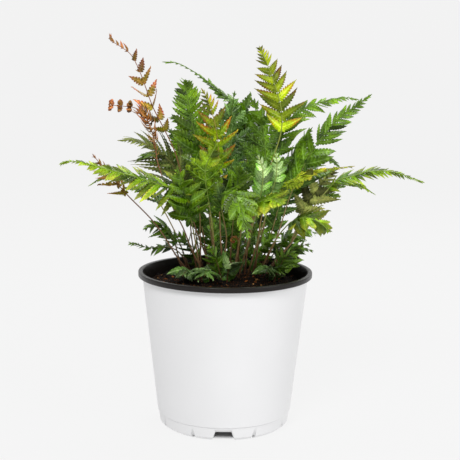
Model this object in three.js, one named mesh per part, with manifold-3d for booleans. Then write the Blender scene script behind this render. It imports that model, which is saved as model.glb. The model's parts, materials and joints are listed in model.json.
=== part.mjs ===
// A potted autumn fern: a white nursery pot with a black rim and inside, full of
// potting soil, and a young fern with fronds of every age, from coiled to full grown.
// Millimetres, +Z up. The origin is on the pot's axis, on the surface that it stands on.
// The front of the plant faces -Y.

import * as THREE from 'three';
import { mergeVertices } from 'three/addons/utils/BufferGeometryUtils.js';
import Module from 'manifold-3d';

const wasm = await Module();
wasm.setup();

// Pot
const POT_HEIGHT = 158;
const RIM_RADIUS = 88;
const RIM_HEIGHT = 5;
const RIM_ROUNDING = 0.9;
const RIM_INNER_RADIUS = 83.6;
const RIM_INNER_SLOPE = 2;
const WALL_TOP_RADIUS = 83.8;
const WALL_FOOT_RADIUS = 68.1;
const WALL_THICKNESS = 1.6;
const FOOT_HEIGHT = 14;
const FOOT_STEP = 0.9;
const FOOT_STEP_HEIGHT = 0.4;
const FOOT_RADIUS = 65.8;
const FOOT_CHAMFER = 3.2;
const BASE_RADIUS = 61.5;
const BASE_THICKNESS = 2;
const POT_SIDES = 32;

// Drain slots cut through the foot: a wide one at each quarter, small ones beside it
const SLOT_COUNT = 4;
const SLOT_TOP_WIDTH = 15.6;
const SLOT_FOOT_WIDTH = 23.4;
const SLOT_HEIGHT = 10.3;
const SLOT_INNER_RADIUS = 56;
const SLOT_OUTER_RADIUS = 74;
const SMALL_SLOT_WIDTH = 3.4;
const SMALL_SLOT_HEIGHT = 4.5;
const SMALL_SLOT_ANGLE = 27;

// Soil
const SOIL_EDGE_LEVEL = 144;
const SOIL_EDGE_DROP = 2;
const SOIL_MOUND = 4;
const SOIL_GAP = 0.5;
const SOIL_RINGS = 3;
const SOIL_BUMP = 0.9;

// Stalks
const ROOT_DEPTH = 10;
const ROOT_TOP = SOIL_EDGE_LEVEL + SOIL_MOUND + 2;
const ROOT_FOOT = SOIL_EDGE_LEVEL - ROOT_DEPTH;
const HOLE_SIDES = 4;
const HOLE_GAP = 0.5;
const STALK_WIDTH = 2;
const RIB_WIDTH = 1.4;
const TIP_WIDTH = 0.8;

// Leaflets
const BLADE_THICKNESS = 0.64;
const ROOT_SHARE = 0.4;
const NARROWEST_ROOT = 1;
const WIDEST_ROOT = 4;
const WIDEST_SHARE = 0.3;
const PLAIN_WIDEST_AT = 0.45;
const LOWEST_SHARE = 0.75;
const FIRST_PAIR = 0.3;
const CROWDING = 1.15;
const SWEEP_LOST = 14;
const TIP_SHARE = 0.2;
const SHORTEST = 3;
const LONGEST_LOBE = 12;
const LONGEST_PLAIN = 21;
const LONGEST_ONE_TOOTH = 37;
const LONGEST_TWO_TEETH = 44;
const NOTCH_STEP = 0.035;
const NOTCH_SHARE = 0.62;

// Room that a leaflet keeps to the other fronds, and what it tries to get it: it is
// swung up or down by so many degrees, and then grows to a smaller share of its length.
// The first choice that is clear is taken, and a leaflet that has no room is left out.
const ROOM = 3;
const SAMPLE_STEP = 1.5;
const SWINGS = [0, 10, -10, 20, -20, 30, -30, 42, -42];
const GROWTHS = [1, 0.84, 0.68, 0.52, 0.38];
const ROOM_OVER_SOIL = 2.5;
const ROOM_OVER_RIM = 2;

const TONES = {
  bronze: '#9a4a2c',
  turning: '#a8a022',
  spring: '#8fb020',
  bright: '#4f9e12',
  olive: '#66762f',
  dark: '#2c6a18',
  pale: '#7fb060',
};

// One entry for each frond. foot is where it leaves the soil; route runs on from above
// the foot to the tip; face is the way that its upper side looks; bare is the share of
// it that is bare stalk; reach is the longest leaflet, and fullest is that one's place
// along the blade, from 0 at the lowest pair to 1 at the tip. sweep is a leaflet's angle
// to the stalk in degrees, fill its share of the room between two pairs, droop and curl
// its bend down and towards the tip, taper how fast the leaflets shorten, and step the
// distance between the rings of the bare stalk.
const USUAL = { fullest: 0.2, sweep: 62, fill: 0.92, droop: 0.14, curl: 0.12, taper: 0.9,
  step: 50 };
const FRONDS = [
  {
    name: 'frond_crown_tip', tone: 'spring', foot: [20, 28], face: [0, -1, 0.1],
    route: [[24, 20, 186], [34, 10, 234], [48, 6, 275], [55, 6, 302], [54, 6, 322],
      [49, 5, 340], [42, 3, 359], [36, 1, 372], [31, 0, 383]],
    bare: 0.64, pairs: 10, reach: 26, fullest: 0.15, sweep: 64,
  },
  {
    name: 'frond_bronze_tall', tone: 'bronze', foot: [-14, 30], face: [0.3, -1, 0.2],
    route: [[-33, 20, 204], [-44, 10, 250], [-52, 4, 278], [-61, 0, 298], [-73, -4, 322],
      [-79, -7, 339], [-86, -9, 358], [-94, -10, 373], [-105, -10, 381], [-114, -9, 387],
      [-115, -8, 393]],
    bare: 0.57, pairs: 10, reach: 15, fullest: 0.3, sweep: 52, fill: 0.8,
  },
  {
    name: 'frond_bronze_low', tone: 'bronze', foot: [-21, 12], face: [0.2, -1, 0.3],
    route: [[-34, 8, 176], [-43, 4, 200], [-54, 0, 223], [-61, -5, 246], [-68, -9, 268],
      [-71, -11, 289], [-77, -13, 308], [-83, -14, 318], [-92, -15, 322], [-103, -15, 323],
      [-114, -15, 324]],
    bare: 0.58, pairs: 7, reach: 15, fullest: 0.2, sweep: 50, fill: 0.6,
  },
  {
    name: 'frond_long_right', tone: 'dark', foot: [36, 30], face: [-0.55, -0.75, 0.3],
    route: [[52, 28, 185], [66, 24, 232], [83, 18, 271], [96, 14, 292], [113, 10, 312],
      [128, 6, 324], [144, 2, 337]],
    bare: 0.42, pairs: 11, reach: 33, fullest: 0.12, sweep: 58,
  },
  {
    name: 'frond_arch_right', tone: 'bright', foot: [26, 44], face: [-0.3, -0.6, 0.8],
    route: [[38, 48, 186], [48, 50, 245], [57, 50, 292], [66, 50, 309], [79, 50, 319],
      [100, 52, 327], [123, 54, 331], [138, 56, 329]],
    bare: 0.5, pairs: 11, reach: 26, fullest: 0.1, sweep: 58, fill: 0.84,
  },
  {
    name: 'frond_far_right', tone: 'spring', foot: [40, 22], face: [-0.1, -0.45, 1],
    route: [[66, 20, 181], [86, 12, 217], [101, 4, 239], [112, -2, 251], [127, -6, 256],
      [142, -10, 261], [165, -14, 261], [179, -16, 257], [196, -18, 251]],
    bare: 0.52, pairs: 11, reach: 20, fullest: 0.1, sweep: 60,
  },
  {
    name: 'frond_left_arch', tone: 'bright', foot: [-26, 26], face: [0.1, -0.6, 1],
    route: [[-26, 10, 192], [-28, -8, 225], [-40, -18, 240], [-59, -28, 246],
      [-78, -34, 253], [-97, -38, 259], [-116, -40, 264], [-138, -42, 270],
      [-153, -43, 271], [-160, -44, 268]],
    bare: 0.38, pairs: 12, reach: 34, fullest: 0.2, sweep: 62, taper: 1.2,
  },
  {
    name: 'frond_left_comb', tone: 'olive', foot: [-30, 32], face: [-0.25, -0.65, 0.7],
    route: [[-35, 28, 184], [-39, 24, 221], [-46, 16, 251], [-55, 10, 265], [-67, 4, 277],
      [-80, 0, 285], [-94, -5, 289], [-108, -10, 289]],
    bare: 0.44, pairs: 10, reach: 36, fullest: 0.25, sweep: 50, droop: 0.2,
  },
  {
    name: 'frond_young_left', tone: 'turning', foot: [-36, 16], face: [0.2, -0.8, 0.6],
    route: [[-48, 10, 167], [-70, -2, 204], [-99, -14, 237], [-114, -20, 256],
      [-125, -22, 269], [-131, -22, 277]],
    bare: 0.68, pairs: 6, reach: 18, fullest: 0.3, sweep: 58,
  },
  {
    name: 'frond_bright_upright', tone: 'bright', foot: [-8, 20], face: [0, -1, 0.1],
    route: [[-14, 16, 186], [-20, 8, 239], [-28, 2, 279], [-35, -3, 311], [-38, -6, 329],
      [-41, -10, 343], [-40, -18, 350]],
    bare: 0.55, pairs: 9, reach: 27, fullest: 0.15,
  },
  {
    name: 'frond_long_tip', tone: 'dark', foot: [2, 52], face: [-0.2, -0.5, 1],
    route: [[15, 60, 190], [21, 66, 253], [20, 66, 296], [15, 62, 320], [1, 58, 330],
      [-16, 52, 343], [-34, 46, 356], [-52, 42, 365], [-67, 40, 366]],
    bare: 0.5, pairs: 11, reach: 27, fullest: 0.1, taper: 1.7,
  },
  {
    name: 'frond_orange_edge', tone: 'turning', foot: [30, 8], face: [0.1, 0.3, 1],
    route: [[36, -20, 218], [46, -36, 245], [61, -42, 253], [71, -44, 259],
      [85, -46, 265], [106, -48, 268], [123, -50, 270]],
    bare: 0.55, pairs: 8, reach: 19, fullest: 0.2,
  },
  {
    name: 'frond_pale_left', tone: 'pale', foot: [14, 6], face: [0.1, -0.9, 0.5],
    route: [[23, -8, 190], [30, -34, 222], [33, -52, 241], [35, -60, 256], [34, -65, 270],
      [29, -69, 282]],
    bare: 0.7, pairs: 7, reach: 13, fullest: 0.35, sweep: 56, fill: 1, taper: 0.7,
  },
  {
    name: 'frond_pale_right', tone: 'pale', foot: [22, 2], face: [-0.1, -0.9, 0.5],
    route: [[32, -12, 190], [40, -34, 222], [43, -46, 240], [47, -54, 256], [48, -60, 270],
      [47, -64, 284]],
    bare: 0.7, pairs: 7, reach: 12, fullest: 0.35, sweep: 56, fill: 1, taper: 0.7,
  },
  {
    name: 'frond_yellow_front', tone: 'turning', foot: [8, 0], face: [0, -0.6, 0.8],
    route: [[14, -14, 191], [19, -44, 221], [29, -66, 236], [38, -80, 241],
      [46, -92, 242], [53, -100, 238]],
    bare: 0.66, pairs: 5, reach: 26, fullest: 0.2, sweep: 62,
  },
  {
    name: 'frond_hang_front', tone: 'bright', foot: [-6, 2], face: [0, -0.8, 0.6],
    route: [[1, -14, 191], [-4, -40, 230], [2, -62, 247], [10, -84, 244], [15, -98, 232],
      [20, -108, 215], [21, -112, 207]],
    bare: 0.55, pairs: 8, reach: 27, fullest: 0.25, sweep: 58,
  },
  {
    name: 'frond_low_right', tone: 'spring', foot: [34, 14], face: [0, -0.5, 1],
    route: [[45, 4, 178], [56, -7, 199], [67, -18, 212], [80, -29, 217], [92, -36, 213],
      [102, -41, 204]],
    bare: 0.58, pairs: 7, reach: 27, fullest: 0.2,
  },
  {
    name: 'frond_bronze_yellow', tone: 'turning', foot: [-2, 14], face: [0.1, -1, 0.3],
    route: [[-5, 6, 188], [-7, -6, 240], [-8, -14, 286], [-10, -18, 301],
      [-14, -22, 317], [-19, -26, 332], [-25, -28, 342]],
    bare: 0.6, pairs: 7, reach: 27, fullest: 0.2,
  },
  {
    name: 'frond_bright_front', tone: 'bright', foot: [-12, 8], face: [0, -1, 0.4],
    route: [[-12, -6, 190], [-17, -24, 233], [-20, -36, 254], [-19, -44, 269],
      [-13, -50, 282], [-8, -54, 292]],
    bare: 0.62, pairs: 6, reach: 24, fullest: 0.2,
  },
  {
    name: 'frond_dark_centre', tone: 'dark', foot: [8, 40], face: [0, -1, 0.2],
    route: [[21, 40, 182], [33, 36, 230], [40, 32, 267], [38, 30, 288], [36, 28, 306],
      [29, 26, 323], [21, 24, 333]],
    bare: 0.5, pairs: 9, reach: 32, fullest: 0.2,
  },
  {
    name: 'frond_olive_under', tone: 'olive', foot: [44, 36], face: [0.2, 0.6, 0.8],
    route: [[69, 36, 184], [77, 34, 210], [86, 30, 227], [94, 26, 240], [104, 22, 253],
      [113, 18, 263]],
    bare: 0.55, pairs: 6, reach: 27, fullest: 0.25,
  },
  {
    name: 'frond_dark_back_left', tone: 'dark', foot: [-24, 48], face: [0, -0.8, 0.6],
    route: [[-32, 52, 190], [-28, 58, 243], [-32, 60, 275], [-41, 62, 293],
      [-52, 64, 306], [-62, 66, 308]],
    bare: 0.5, pairs: 9, reach: 33, fullest: 0.2,
  },
  {
    name: 'frond_mid_left', tone: 'dark', foot: [-18, 40], face: [0.1, -0.9, 0.4],
    route: [[-24, 40, 190], [-32, 38, 232], [-40, 34, 262], [-50, 30, 286], [-60, 26, 300]],
    bare: 0.42, pairs: 8, reach: 36, fullest: 0.2,
  },
  {
    name: 'frond_mid_right', tone: 'dark', foot: [36, 42], face: [-0.1, -0.9, 0.4],
    route: [[48, 42, 190], [58, 41, 230], [66, 39, 260], [76, 35, 284], [88, 31, 302]],
    bare: 0.42, pairs: 8, reach: 36, fullest: 0.2,
  },
  {
    name: 'frond_centre_low', tone: 'dark', foot: [4, 26], face: [0, -0.8, 0.5],
    route: [[6, 18, 184], [8, 6, 214], [10, -8, 238], [12, -22, 256], [14, -34, 268]],
    bare: 0.4, pairs: 7, reach: 36, fullest: 0.2,
  },
  {
    name: 'frond_front_left', tone: 'bright', foot: [-24, -2], face: [0.2, -0.8, 0.6],
    route: [[-30, -12, 188], [-35, -24, 218], [-40, -35, 240], [-44, -44, 256],
      [-47, -51, 268]],
    bare: 0.5, pairs: 6, reach: 30, fullest: 0.2,
  },
  {
    name: 'frond_centre_high', tone: 'dark', foot: [12, 50], face: [0, -0.9, 0.5],
    route: [[10, 52, 200], [6, 53, 250], [4, 50, 290], [5, 45, 318], [8, 38, 338]],
    bare: 0.56, pairs: 8, reach: 30, fullest: 0.2,
  },
  {
    name: 'frond_back_left', tone: 'dark', foot: [-18, 62], face: [0.2, -0.2, 1],
    route: [[-30, 82, 200], [-48, 108, 240], [-68, 136, 262], [-90, 162, 262],
      [-108, 180, 248]],
    bare: 0.42, pairs: 9, reach: 36, fullest: 0.2,
  },
  {
    name: 'frond_back', tone: 'bright', foot: [6, 66], face: [0, -0.2, 1],
    route: [[8, 88, 206], [12, 114, 252], [18, 142, 278], [24, 172, 280], [30, 196, 264]],
    bare: 0.42, pairs: 9, reach: 36, fullest: 0.2,
  },
  {
    name: 'frond_back_right', tone: 'dark', foot: [36, 66], face: [-0.2, -0.2, 1],
    route: [[50, 82, 204], [68, 102, 244], [88, 126, 264], [112, 148, 262],
      [132, 166, 246]],
    bare: 0.42, pairs: 9, reach: 34, fullest: 0.2,
  },
  {
    name: 'frond_side_left', tone: 'bright', foot: [-38, 46], face: [0.3, -0.2, 1],
    route: [[-56, 54, 192], [-78, 66, 226], [-104, 80, 244], [-130, 92, 244],
      [-152, 100, 230]],
    bare: 0.42, pairs: 8, reach: 30, fullest: 0.2,
  },
  {
    name: 'frond_side_right', tone: 'bright', foot: [48, 50], face: [-0.3, -0.2, 1],
    route: [[68, 62, 190], [92, 78, 222], [118, 92, 238], [144, 104, 236],
      [166, 112, 222]],
    bare: 0.42, pairs: 8, reach: 30, fullest: 0.2,
  },
  {
    name: 'frond_low_left_dark', tone: 'dark', foot: [-44, 24], face: [0, -0.6, 1],
    route: [[-48, 24, 164], [-54, 20, 186], [-62, 14, 198], [-72, 8, 202], [-84, 2, 198]],
    bare: 0.52, pairs: 5, reach: 18, fullest: 0.2,
  },
  {
    name: 'frond_low_left_thin', tone: 'dark', foot: [-40, 38], face: [0, -0.6, 1],
    route: [[-43, 38, 161], [-52, 40, 171], [-64, 42, 174], [-80, 44, 172],
      [-96, 46, 176], [-103, 46, 177]],
    bare: 0.4, pairs: 7, reach: 8, fullest: 0.2,
  },
  {
    name: 'frond_low_right_tip', tone: 'dark', foot: [46, 44], face: [0, -0.6, 1],
    route: [[56, 46, 160], [65, 50, 168], [77, 54, 172], [94, 58, 168]],
    bare: 0.35, pairs: 6, reach: 12, fullest: 0.2,
  },
  {
    name: 'frond_low_right_dark', tone: 'dark', foot: [40, 52], face: [0, -0.6, 1],
    route: [[48, 50, 162], [60, 48, 178], [72, 47, 188], [85, 47, 192], [97, 48, 188]],
    bare: 0.4, pairs: 6, reach: 19, fullest: 0.2,
  },
  {
    name: 'frond_low_back_left', tone: 'dark', foot: [-8, 58], face: [0, -0.7, 0.6],
    route: [[-10, 66, 165], [-13, 74, 186], [-15, 80, 208], [-14, 88, 228]],
    bare: 0.3, pairs: 7, reach: 32, fullest: 0.2,
  },
  {
    name: 'frond_low_back_right', tone: 'dark', foot: [20, 56], face: [0, -0.7, 0.6],
    route: [[24, 62, 168], [30, 68, 190], [38, 74, 208], [48, 80, 222]],
    bare: 0.3, pairs: 7, reach: 32, fullest: 0.2,
  },
  {
    name: 'frond_soil_right', tone: 'dark', foot: [54, 26], face: [0, -0.4, 1],
    route: [[58, 23, 158], [64, 17, 162], [70, 9, 160]],
    bare: 0.25, pairs: 4, reach: 13, fullest: 0.3, sweep: 60,
  },
  {
    name: 'frond_soil_mid_right', tone: 'bright', foot: [44, 8], face: [0, -0.5, 1],
    route: [[45, 3, 158], [44, -8, 162], [42, -20, 160]],
    bare: 0.25, pairs: 4, reach: 13, fullest: 0.3, sweep: 60,
  },
  {
    name: 'frond_soil_pale', tone: 'pale', foot: [2, -10], face: [0, -0.8, 0.7],
    route: [[3, -14, 159], [4, -20, 167], [6, -30, 171]],
    bare: 0.25, pairs: 4, reach: 15, fullest: 0.3, sweep: 60,
  },
  {
    name: 'frond_soil_front', tone: 'bright', foot: [-16, -6], face: [0, -0.6, 0.9],
    route: [[-17, -12, 158], [-18, -22, 162], [-20, -34, 159]],
    bare: 0.25, pairs: 4, reach: 15, fullest: 0.3, sweep: 60,
  },
  {
    name: 'frond_soil_left', tone: 'bright', foot: [-34, 2], face: [0, -0.5, 1],
    route: [[-36, -3, 156], [-38, -13, 160], [-42, -25, 157]],
    bare: 0.2, pairs: 4, reach: 15, fullest: 0.3, sweep: 60,
  },
  {
    name: 'frond_low_mid_left', tone: 'dark', foot: [-7, 40], face: [0, -0.8, 0.6],
    route: [[-9, 42, 162], [-13, 44, 180], [-14, 46, 198], [-10, 48, 212]],
    bare: 0.22, pairs: 6, reach: 18, fullest: 0.2,
  },
  {
    name: 'frond_low_mid', tone: 'dark', foot: [15, 36], face: [0, -0.8, 0.6],
    route: [[14, 36, 162], [13, 37, 178], [11, 39, 194], [8, 41, 208]],
    bare: 0.22, pairs: 6, reach: 18, fullest: 0.2,
  },
  {
    name: 'frond_low_mid_right', tone: 'dark', foot: [29, 36], face: [0, -0.8, 0.6],
    route: [[32, 36, 162], [41, 36, 177], [51, 37, 187], [61, 38, 191]],
    bare: 0.22, pairs: 6, reach: 18, fullest: 0.2,
  },
  {
    name: 'frond_low_far_right', tone: 'dark', foot: [57, 32], face: [0, -0.8, 0.6],
    route: [[60, 30, 162], [67, 27, 172], [77, 24, 179], [88, 22, 182]],
    bare: 0.22, pairs: 5, reach: 17, fullest: 0.2,
  },
  {
    name: 'frond_low_left', tone: 'dark', foot: [-29, 42], face: [0, -0.8, 0.6],
    route: [[-33, 42, 162], [-40, 42, 176], [-48, 40, 186], [-56, 38, 190]],
    bare: 0.22, pairs: 6, reach: 16, fullest: 0.2,
  },
  {
    name: 'frond_low_front_right', tone: 'dark', foot: [50, -2], face: [0, -0.8, 0.6],
    route: [[54, -5, 160], [59, -10, 172], [66, -14, 178], [73, -16, 175]],
    bare: 0.22, pairs: 6, reach: 15, fullest: 0.2,
  },
  {
    name: 'frond_low_front', tone: 'dark', foot: [-4, -8], face: [0, -0.8, 0.6],
    route: [[-6, -12, 160], [-10, -18, 174], [-14, -24, 184], [-18, -28, 188]],
    bare: 0.22, pairs: 5, reach: 14, fullest: 0.2,
  },
  {
    name: 'frond_low_back_mid', tone: 'dark', foot: [4, 74], face: [0, -0.8, 0.6],
    route: [[6, 78, 164], [10, 82, 186], [14, 84, 204], [20, 84, 218]],
    bare: 0.22, pairs: 7, reach: 24, fullest: 0.2,
  },
  {
    name: 'crozier', tone: 'bronze', foot: [10, 14], face: [0, -1, 0.05],
    route: [[12, 13, 166], [13.4, 12, 178], [14, 11, 186], [11, 10, 191], [6.6, 9, 190.5],
      [5.2, 8.6, 186.5], [8, 8.2, 184.5], [10, 8, 186.8]],
    bare: 1, pairs: 0, reach: 0, step: 3.5,
  },
].map((plan) => ({ ...USUAL, ...plan }));

// Helpers for solids

function closedGeometry(positions, indices) {
  const bare = new THREE.BufferGeometry();
  bare.setAttribute('position', new THREE.Float32BufferAttribute(positions, 3));
  bare.setIndex(indices);
  const merged = mergeVertices(bare, 1e-4);
  const corners = merged.getIndex().array;
  const kept = [];
  for (let i = 0; i < corners.length; i += 3) {
    const [a, b, c] = corners.slice(i, i + 3);
    if (a !== b && b !== c && c !== a) kept.push(a, b, c);
  }
  merged.setIndex(kept);
  return merged;
}

function toSolid(geometry) {
  const position = geometry.getAttribute('position');
  const inOrder = Array.from({ length: position.count }, (_, i) => i);
  const indices = geometry.getIndex() ? [...geometry.getIndex().array] : inOrder;
  const closed = closedGeometry(position.array, indices);
  const mesh = new wasm.Mesh({
    numProp: 3,
    vertProperties: new Float32Array(closed.getAttribute('position').array),
    triVerts: new Uint32Array(closed.getIndex().array),
  });
  return new wasm.Manifold(mesh);
}

function toGeometry(solid) {
  const mesh = solid.getMesh();
  return closedGeometry(mesh.vertProperties, [...mesh.triVerts]);
}

function latheSolid(profile, sides) {
  const points = profile.map(([radius, height]) => new THREE.Vector2(radius, height));
  const geometry = new THREE.LatheGeometry(points, sides);
  geometry.rotateX(Math.PI / 2);
  return toSolid(geometry);
}

// Pot

function slotCutter(topWidth, footWidth, height, angle) {
  const below = -1;
  const outline = new THREE.Shape();
  outline.moveTo(-footWidth / 2, below);
  outline.lineTo(footWidth / 2, below);
  outline.lineTo(topWidth / 2, height);
  outline.lineTo(-topWidth / 2, height);
  const depth = SLOT_OUTER_RADIUS - SLOT_INNER_RADIUS;
  const cutter = new THREE.ExtrudeGeometry(outline, { depth, bevelEnabled: false });
  cutter.rotateX(Math.PI / 2);
  cutter.translate(0, -SLOT_INNER_RADIUS, 0);
  cutter.rotateZ(THREE.MathUtils.degToRad(angle));
  return toSolid(cutter);
}

function potGeometry() {
  const rimFoot = POT_HEIGHT - RIM_HEIGHT;
  const footTop = WALL_FOOT_RADIUS - FOOT_STEP;
  const profile = [
    [0, 0],
    [BASE_RADIUS, 0],
    [FOOT_RADIUS, FOOT_CHAMFER],
    [footTop, FOOT_HEIGHT],
    [WALL_FOOT_RADIUS, FOOT_HEIGHT + FOOT_STEP_HEIGHT],
    [WALL_TOP_RADIUS, rimFoot],
    [RIM_RADIUS - RIM_ROUNDING, rimFoot],
    [RIM_RADIUS, rimFoot + RIM_ROUNDING],
    [RIM_RADIUS, POT_HEIGHT - RIM_ROUNDING],
    [RIM_RADIUS - RIM_ROUNDING, POT_HEIGHT],
    [RIM_INNER_RADIUS + RIM_ROUNDING, POT_HEIGHT],
    [RIM_INNER_RADIUS, POT_HEIGHT - RIM_ROUNDING],
    [WALL_TOP_RADIUS - WALL_THICKNESS, rimFoot - RIM_INNER_SLOPE],
    [footTop - WALL_THICKNESS, FOOT_HEIGHT],
    [BASE_RADIUS, BASE_THICKNESS],
    [0, BASE_THICKNESS],
  ];
  let pot = latheSolid(profile, POT_SIDES);
  for (let i = 0; i < SLOT_COUNT; i += 1) {
    const angle = i * 360 / SLOT_COUNT;
    pot = pot.subtract(slotCutter(SLOT_TOP_WIDTH, SLOT_FOOT_WIDTH, SLOT_HEIGHT, angle));
    for (const side of [-1, 1]) {
      const beside = angle + side * SMALL_SLOT_ANGLE;
      pot = pot.subtract(
        slotCutter(SMALL_SLOT_WIDTH, SMALL_SLOT_WIDTH, SMALL_SLOT_HEIGHT, beside),
      );
    }
  }
  return toGeometry(pot);
}

// Soil

// A low mound with bumps about 20 mm across and slower waves about 30 mm long
function soilLevel(x, y) {
  const edge = WALL_TOP_RADIUS - WALL_THICKNESS;
  const mound = SOIL_MOUND * (1 - (x * x + y * y) / (edge * edge));
  const bumps = Math.sin(x * 0.31 + 1.3) * Math.cos(y * 0.27);
  const waves = 0.6 * Math.sin(x * 0.13 - y * 0.19);
  return SOIL_EDGE_LEVEL + mound + SOIL_BUMP * (bumps + waves);
}

// The radius of the pot's inside at a height on its wall
function insideRadius(height) {
  const foot = WALL_FOOT_RADIUS - FOOT_STEP - WALL_THICKNESS;
  const top = WALL_TOP_RADIUS - WALL_THICKNESS;
  const wallTop = POT_HEIGHT - RIM_HEIGHT - RIM_INNER_SLOPE;
  return THREE.MathUtils.mapLinear(height, FOOT_HEIGHT, wallTop, foot, top);
}

function soilGeometry() {
  const edgeLevel = SOIL_EDGE_LEVEL - SOIL_EDGE_DROP;
  const edge = insideRadius(edgeLevel) - SOIL_GAP;
  const rings = [
    [BASE_RADIUS - SOIL_GAP, BASE_THICKNESS + SOIL_GAP],
    [insideRadius(FOOT_HEIGHT) - SOIL_GAP, FOOT_HEIGHT],
    [edge, edgeLevel],
  ];
  for (let i = SOIL_RINGS; i >= 1; i -= 1) rings.push([edge * i / SOIL_RINGS, null]);
  const positions = [0, 0, BASE_THICKNESS + SOIL_GAP];
  for (const [radius, height] of rings) {
    for (let i = 0; i < POT_SIDES; i += 1) {
      const angle = i * 2 * Math.PI / POT_SIDES;
      const x = radius * Math.cos(angle);
      const y = radius * Math.sin(angle);
      positions.push(x, y, height ?? soilLevel(x, y));
    }
  }
  positions.push(0, 0, soilLevel(0, 0));
  const last = positions.length / 3 - 1;
  const indices = [];
  const corner = (ring, side) => 1 + ring * POT_SIDES + side % POT_SIDES;
  for (let i = 0; i < POT_SIDES; i += 1) {
    indices.push(0, corner(0, i + 1), corner(0, i));
    for (let ring = 0; ring < rings.length - 1; ring += 1) {
      const [a, b] = [corner(ring, i), corner(ring, i + 1)];
      const [c, d] = [corner(ring + 1, i + 1), corner(ring + 1, i)];
      indices.push(a, b, c, a, c, d);
    }
    indices.push(corner(rings.length - 1, i), corner(rings.length - 1, i + 1), last);
  }
  let soil = toSolid(closedGeometry(positions, indices));
  const stalkCorner = STALK_WIDTH / Math.SQRT2;
  const holeRadius = (stalkCorner + HOLE_GAP) / Math.cos(Math.PI / HOLE_SIDES);
  const holeFoot = ROOT_FOOT - HOLE_GAP;
  const holeDepth = POT_HEIGHT - holeFoot;
  for (const { foot: [x, y] } of FRONDS) {
    const hole = new THREE.CylinderGeometry(holeRadius, holeRadius, holeDepth, HOLE_SIDES);
    hole.rotateX(Math.PI / 2);
    hole.translate(x, y, holeFoot + holeDepth / 2);
    soil = soil.subtract(toSolid(hole));
  }
  return toGeometry(soil);
}

// Room between the fronds, kept as points in a grid of cubes

class Space {
  constructor(size) {
    this.size = size;
    this.cells = new Map();
  }

  cell(point) {
    return point.toArray().map((value) => Math.floor(value / this.size));
  }

  add(point, owner) {
    const key = this.cell(point).join();
    if (!this.cells.has(key)) this.cells.set(key, []);
    this.cells.get(key).push([point, owner]);
  }

  isFree(point, owner) {
    const [x, y, z] = this.cell(point);
    for (let i = x - 1; i <= x + 1; i += 1) {
      for (let j = y - 1; j <= y + 1; j += 1) {
        for (let k = z - 1; k <= z + 1; k += 1) {
          for (const [other, its] of this.cells.get([i, j, k].join()) ?? []) {
            if (its !== owner && other.distanceTo(point) < this.size) return false;
          }
        }
      }
    }
    return true;
  }
}

function clearOfPot(point) {
  const radius = Math.hypot(point.x, point.y);
  if (point.z > POT_HEIGHT + ROOM_OVER_RIM || radius > RIM_RADIUS + ROOM_OVER_RIM) return true;
  const inside = radius < WALL_TOP_RADIUS - WALL_THICKNESS - ROOM_OVER_RIM;
  return inside && point.z > soilLevel(point.x, point.y) + ROOM_OVER_SOIL;
}

// Stalks: a smooth curve with its own along, face and side directions

class Stalk {
  constructor(plan) {
    this.plan = plan;
    const [x, y] = plan.foot;
    const points = [[x, y, ROOT_TOP], ...plan.route].map((p) => new THREE.Vector3(...p));
    this.curve = new THREE.CatmullRomCurve3(points, false, 'centripetal');
    this.length = this.curve.getLength();
    this.bladeStart = plan.bare * this.length;
    this.face = new THREE.Vector3(...plan.face);
  }

  at(distance) {
    const share = THREE.MathUtils.clamp(distance / this.length, 0, 1);
    const point = this.curve.getPointAt(share);
    const along = this.curve.getTangentAt(share);
    const face = this.face.clone().addScaledVector(along, -this.face.dot(along)).normalize();
    const side = new THREE.Vector3().crossVectors(along, face);
    return { point, along, face, side };
  }

  width(distance) {
    if (distance < this.bladeStart) {
      return THREE.MathUtils.lerp(STALK_WIDTH, RIB_WIDTH, distance / this.bladeStart);
    }
    const share = (distance - this.bladeStart) / Math.max(this.length - this.bladeStart, 1);
    return THREE.MathUtils.lerp(RIB_WIDTH, TIP_WIDTH, share);
  }
}

// Leaflets

// The places of the pairs along the blade, from 0 to 1, closer together at the tip
function pairPlaces({ pairs }) {
  return Array.from({ length: pairs }, (_, i) => 1 - (1 - (i + FIRST_PAIR) / pairs) ** CROWDING);
}

function leafletLength(plan, place) {
  if (place < plan.fullest) {
    return plan.reach * THREE.MathUtils.lerp(LOWEST_SHARE, 1, place / plan.fullest);
  }
  return Math.max(plan.reach * ((1 - place) / (1 - plan.fullest)) ** plan.taper, SHORTEST);
}

function toothCount(length) {
  if (length < LONGEST_PLAIN) return 0;
  if (length < LONGEST_ONE_TOOTH) return 1;
  return length < LONGEST_TWO_TEETH ? 2 : 3;
}

// Half the width of a leaflet at a share of its length
function halfWidth(half, share) {
  return half * (1 - share ** 2.6) ** 0.9;
}

// The stations of a leaflet from its root to just short of its tip, with half its width
function leafletWidths(length, half) {
  const teeth = toothCount(length);
  if (length < LONGEST_LOBE) return [];
  if (teeth === 0) return [[PLAIN_WIDEST_AT, half]];
  const stations = [];
  for (let i = 1; i <= teeth; i += 1) {
    const station = i / (teeth + 1);
    const width = halfWidth(half, station);
    stations.push([station, width], [station + NOTCH_STEP, width * NOTCH_SHARE]);
  }
  return stations;
}

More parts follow.
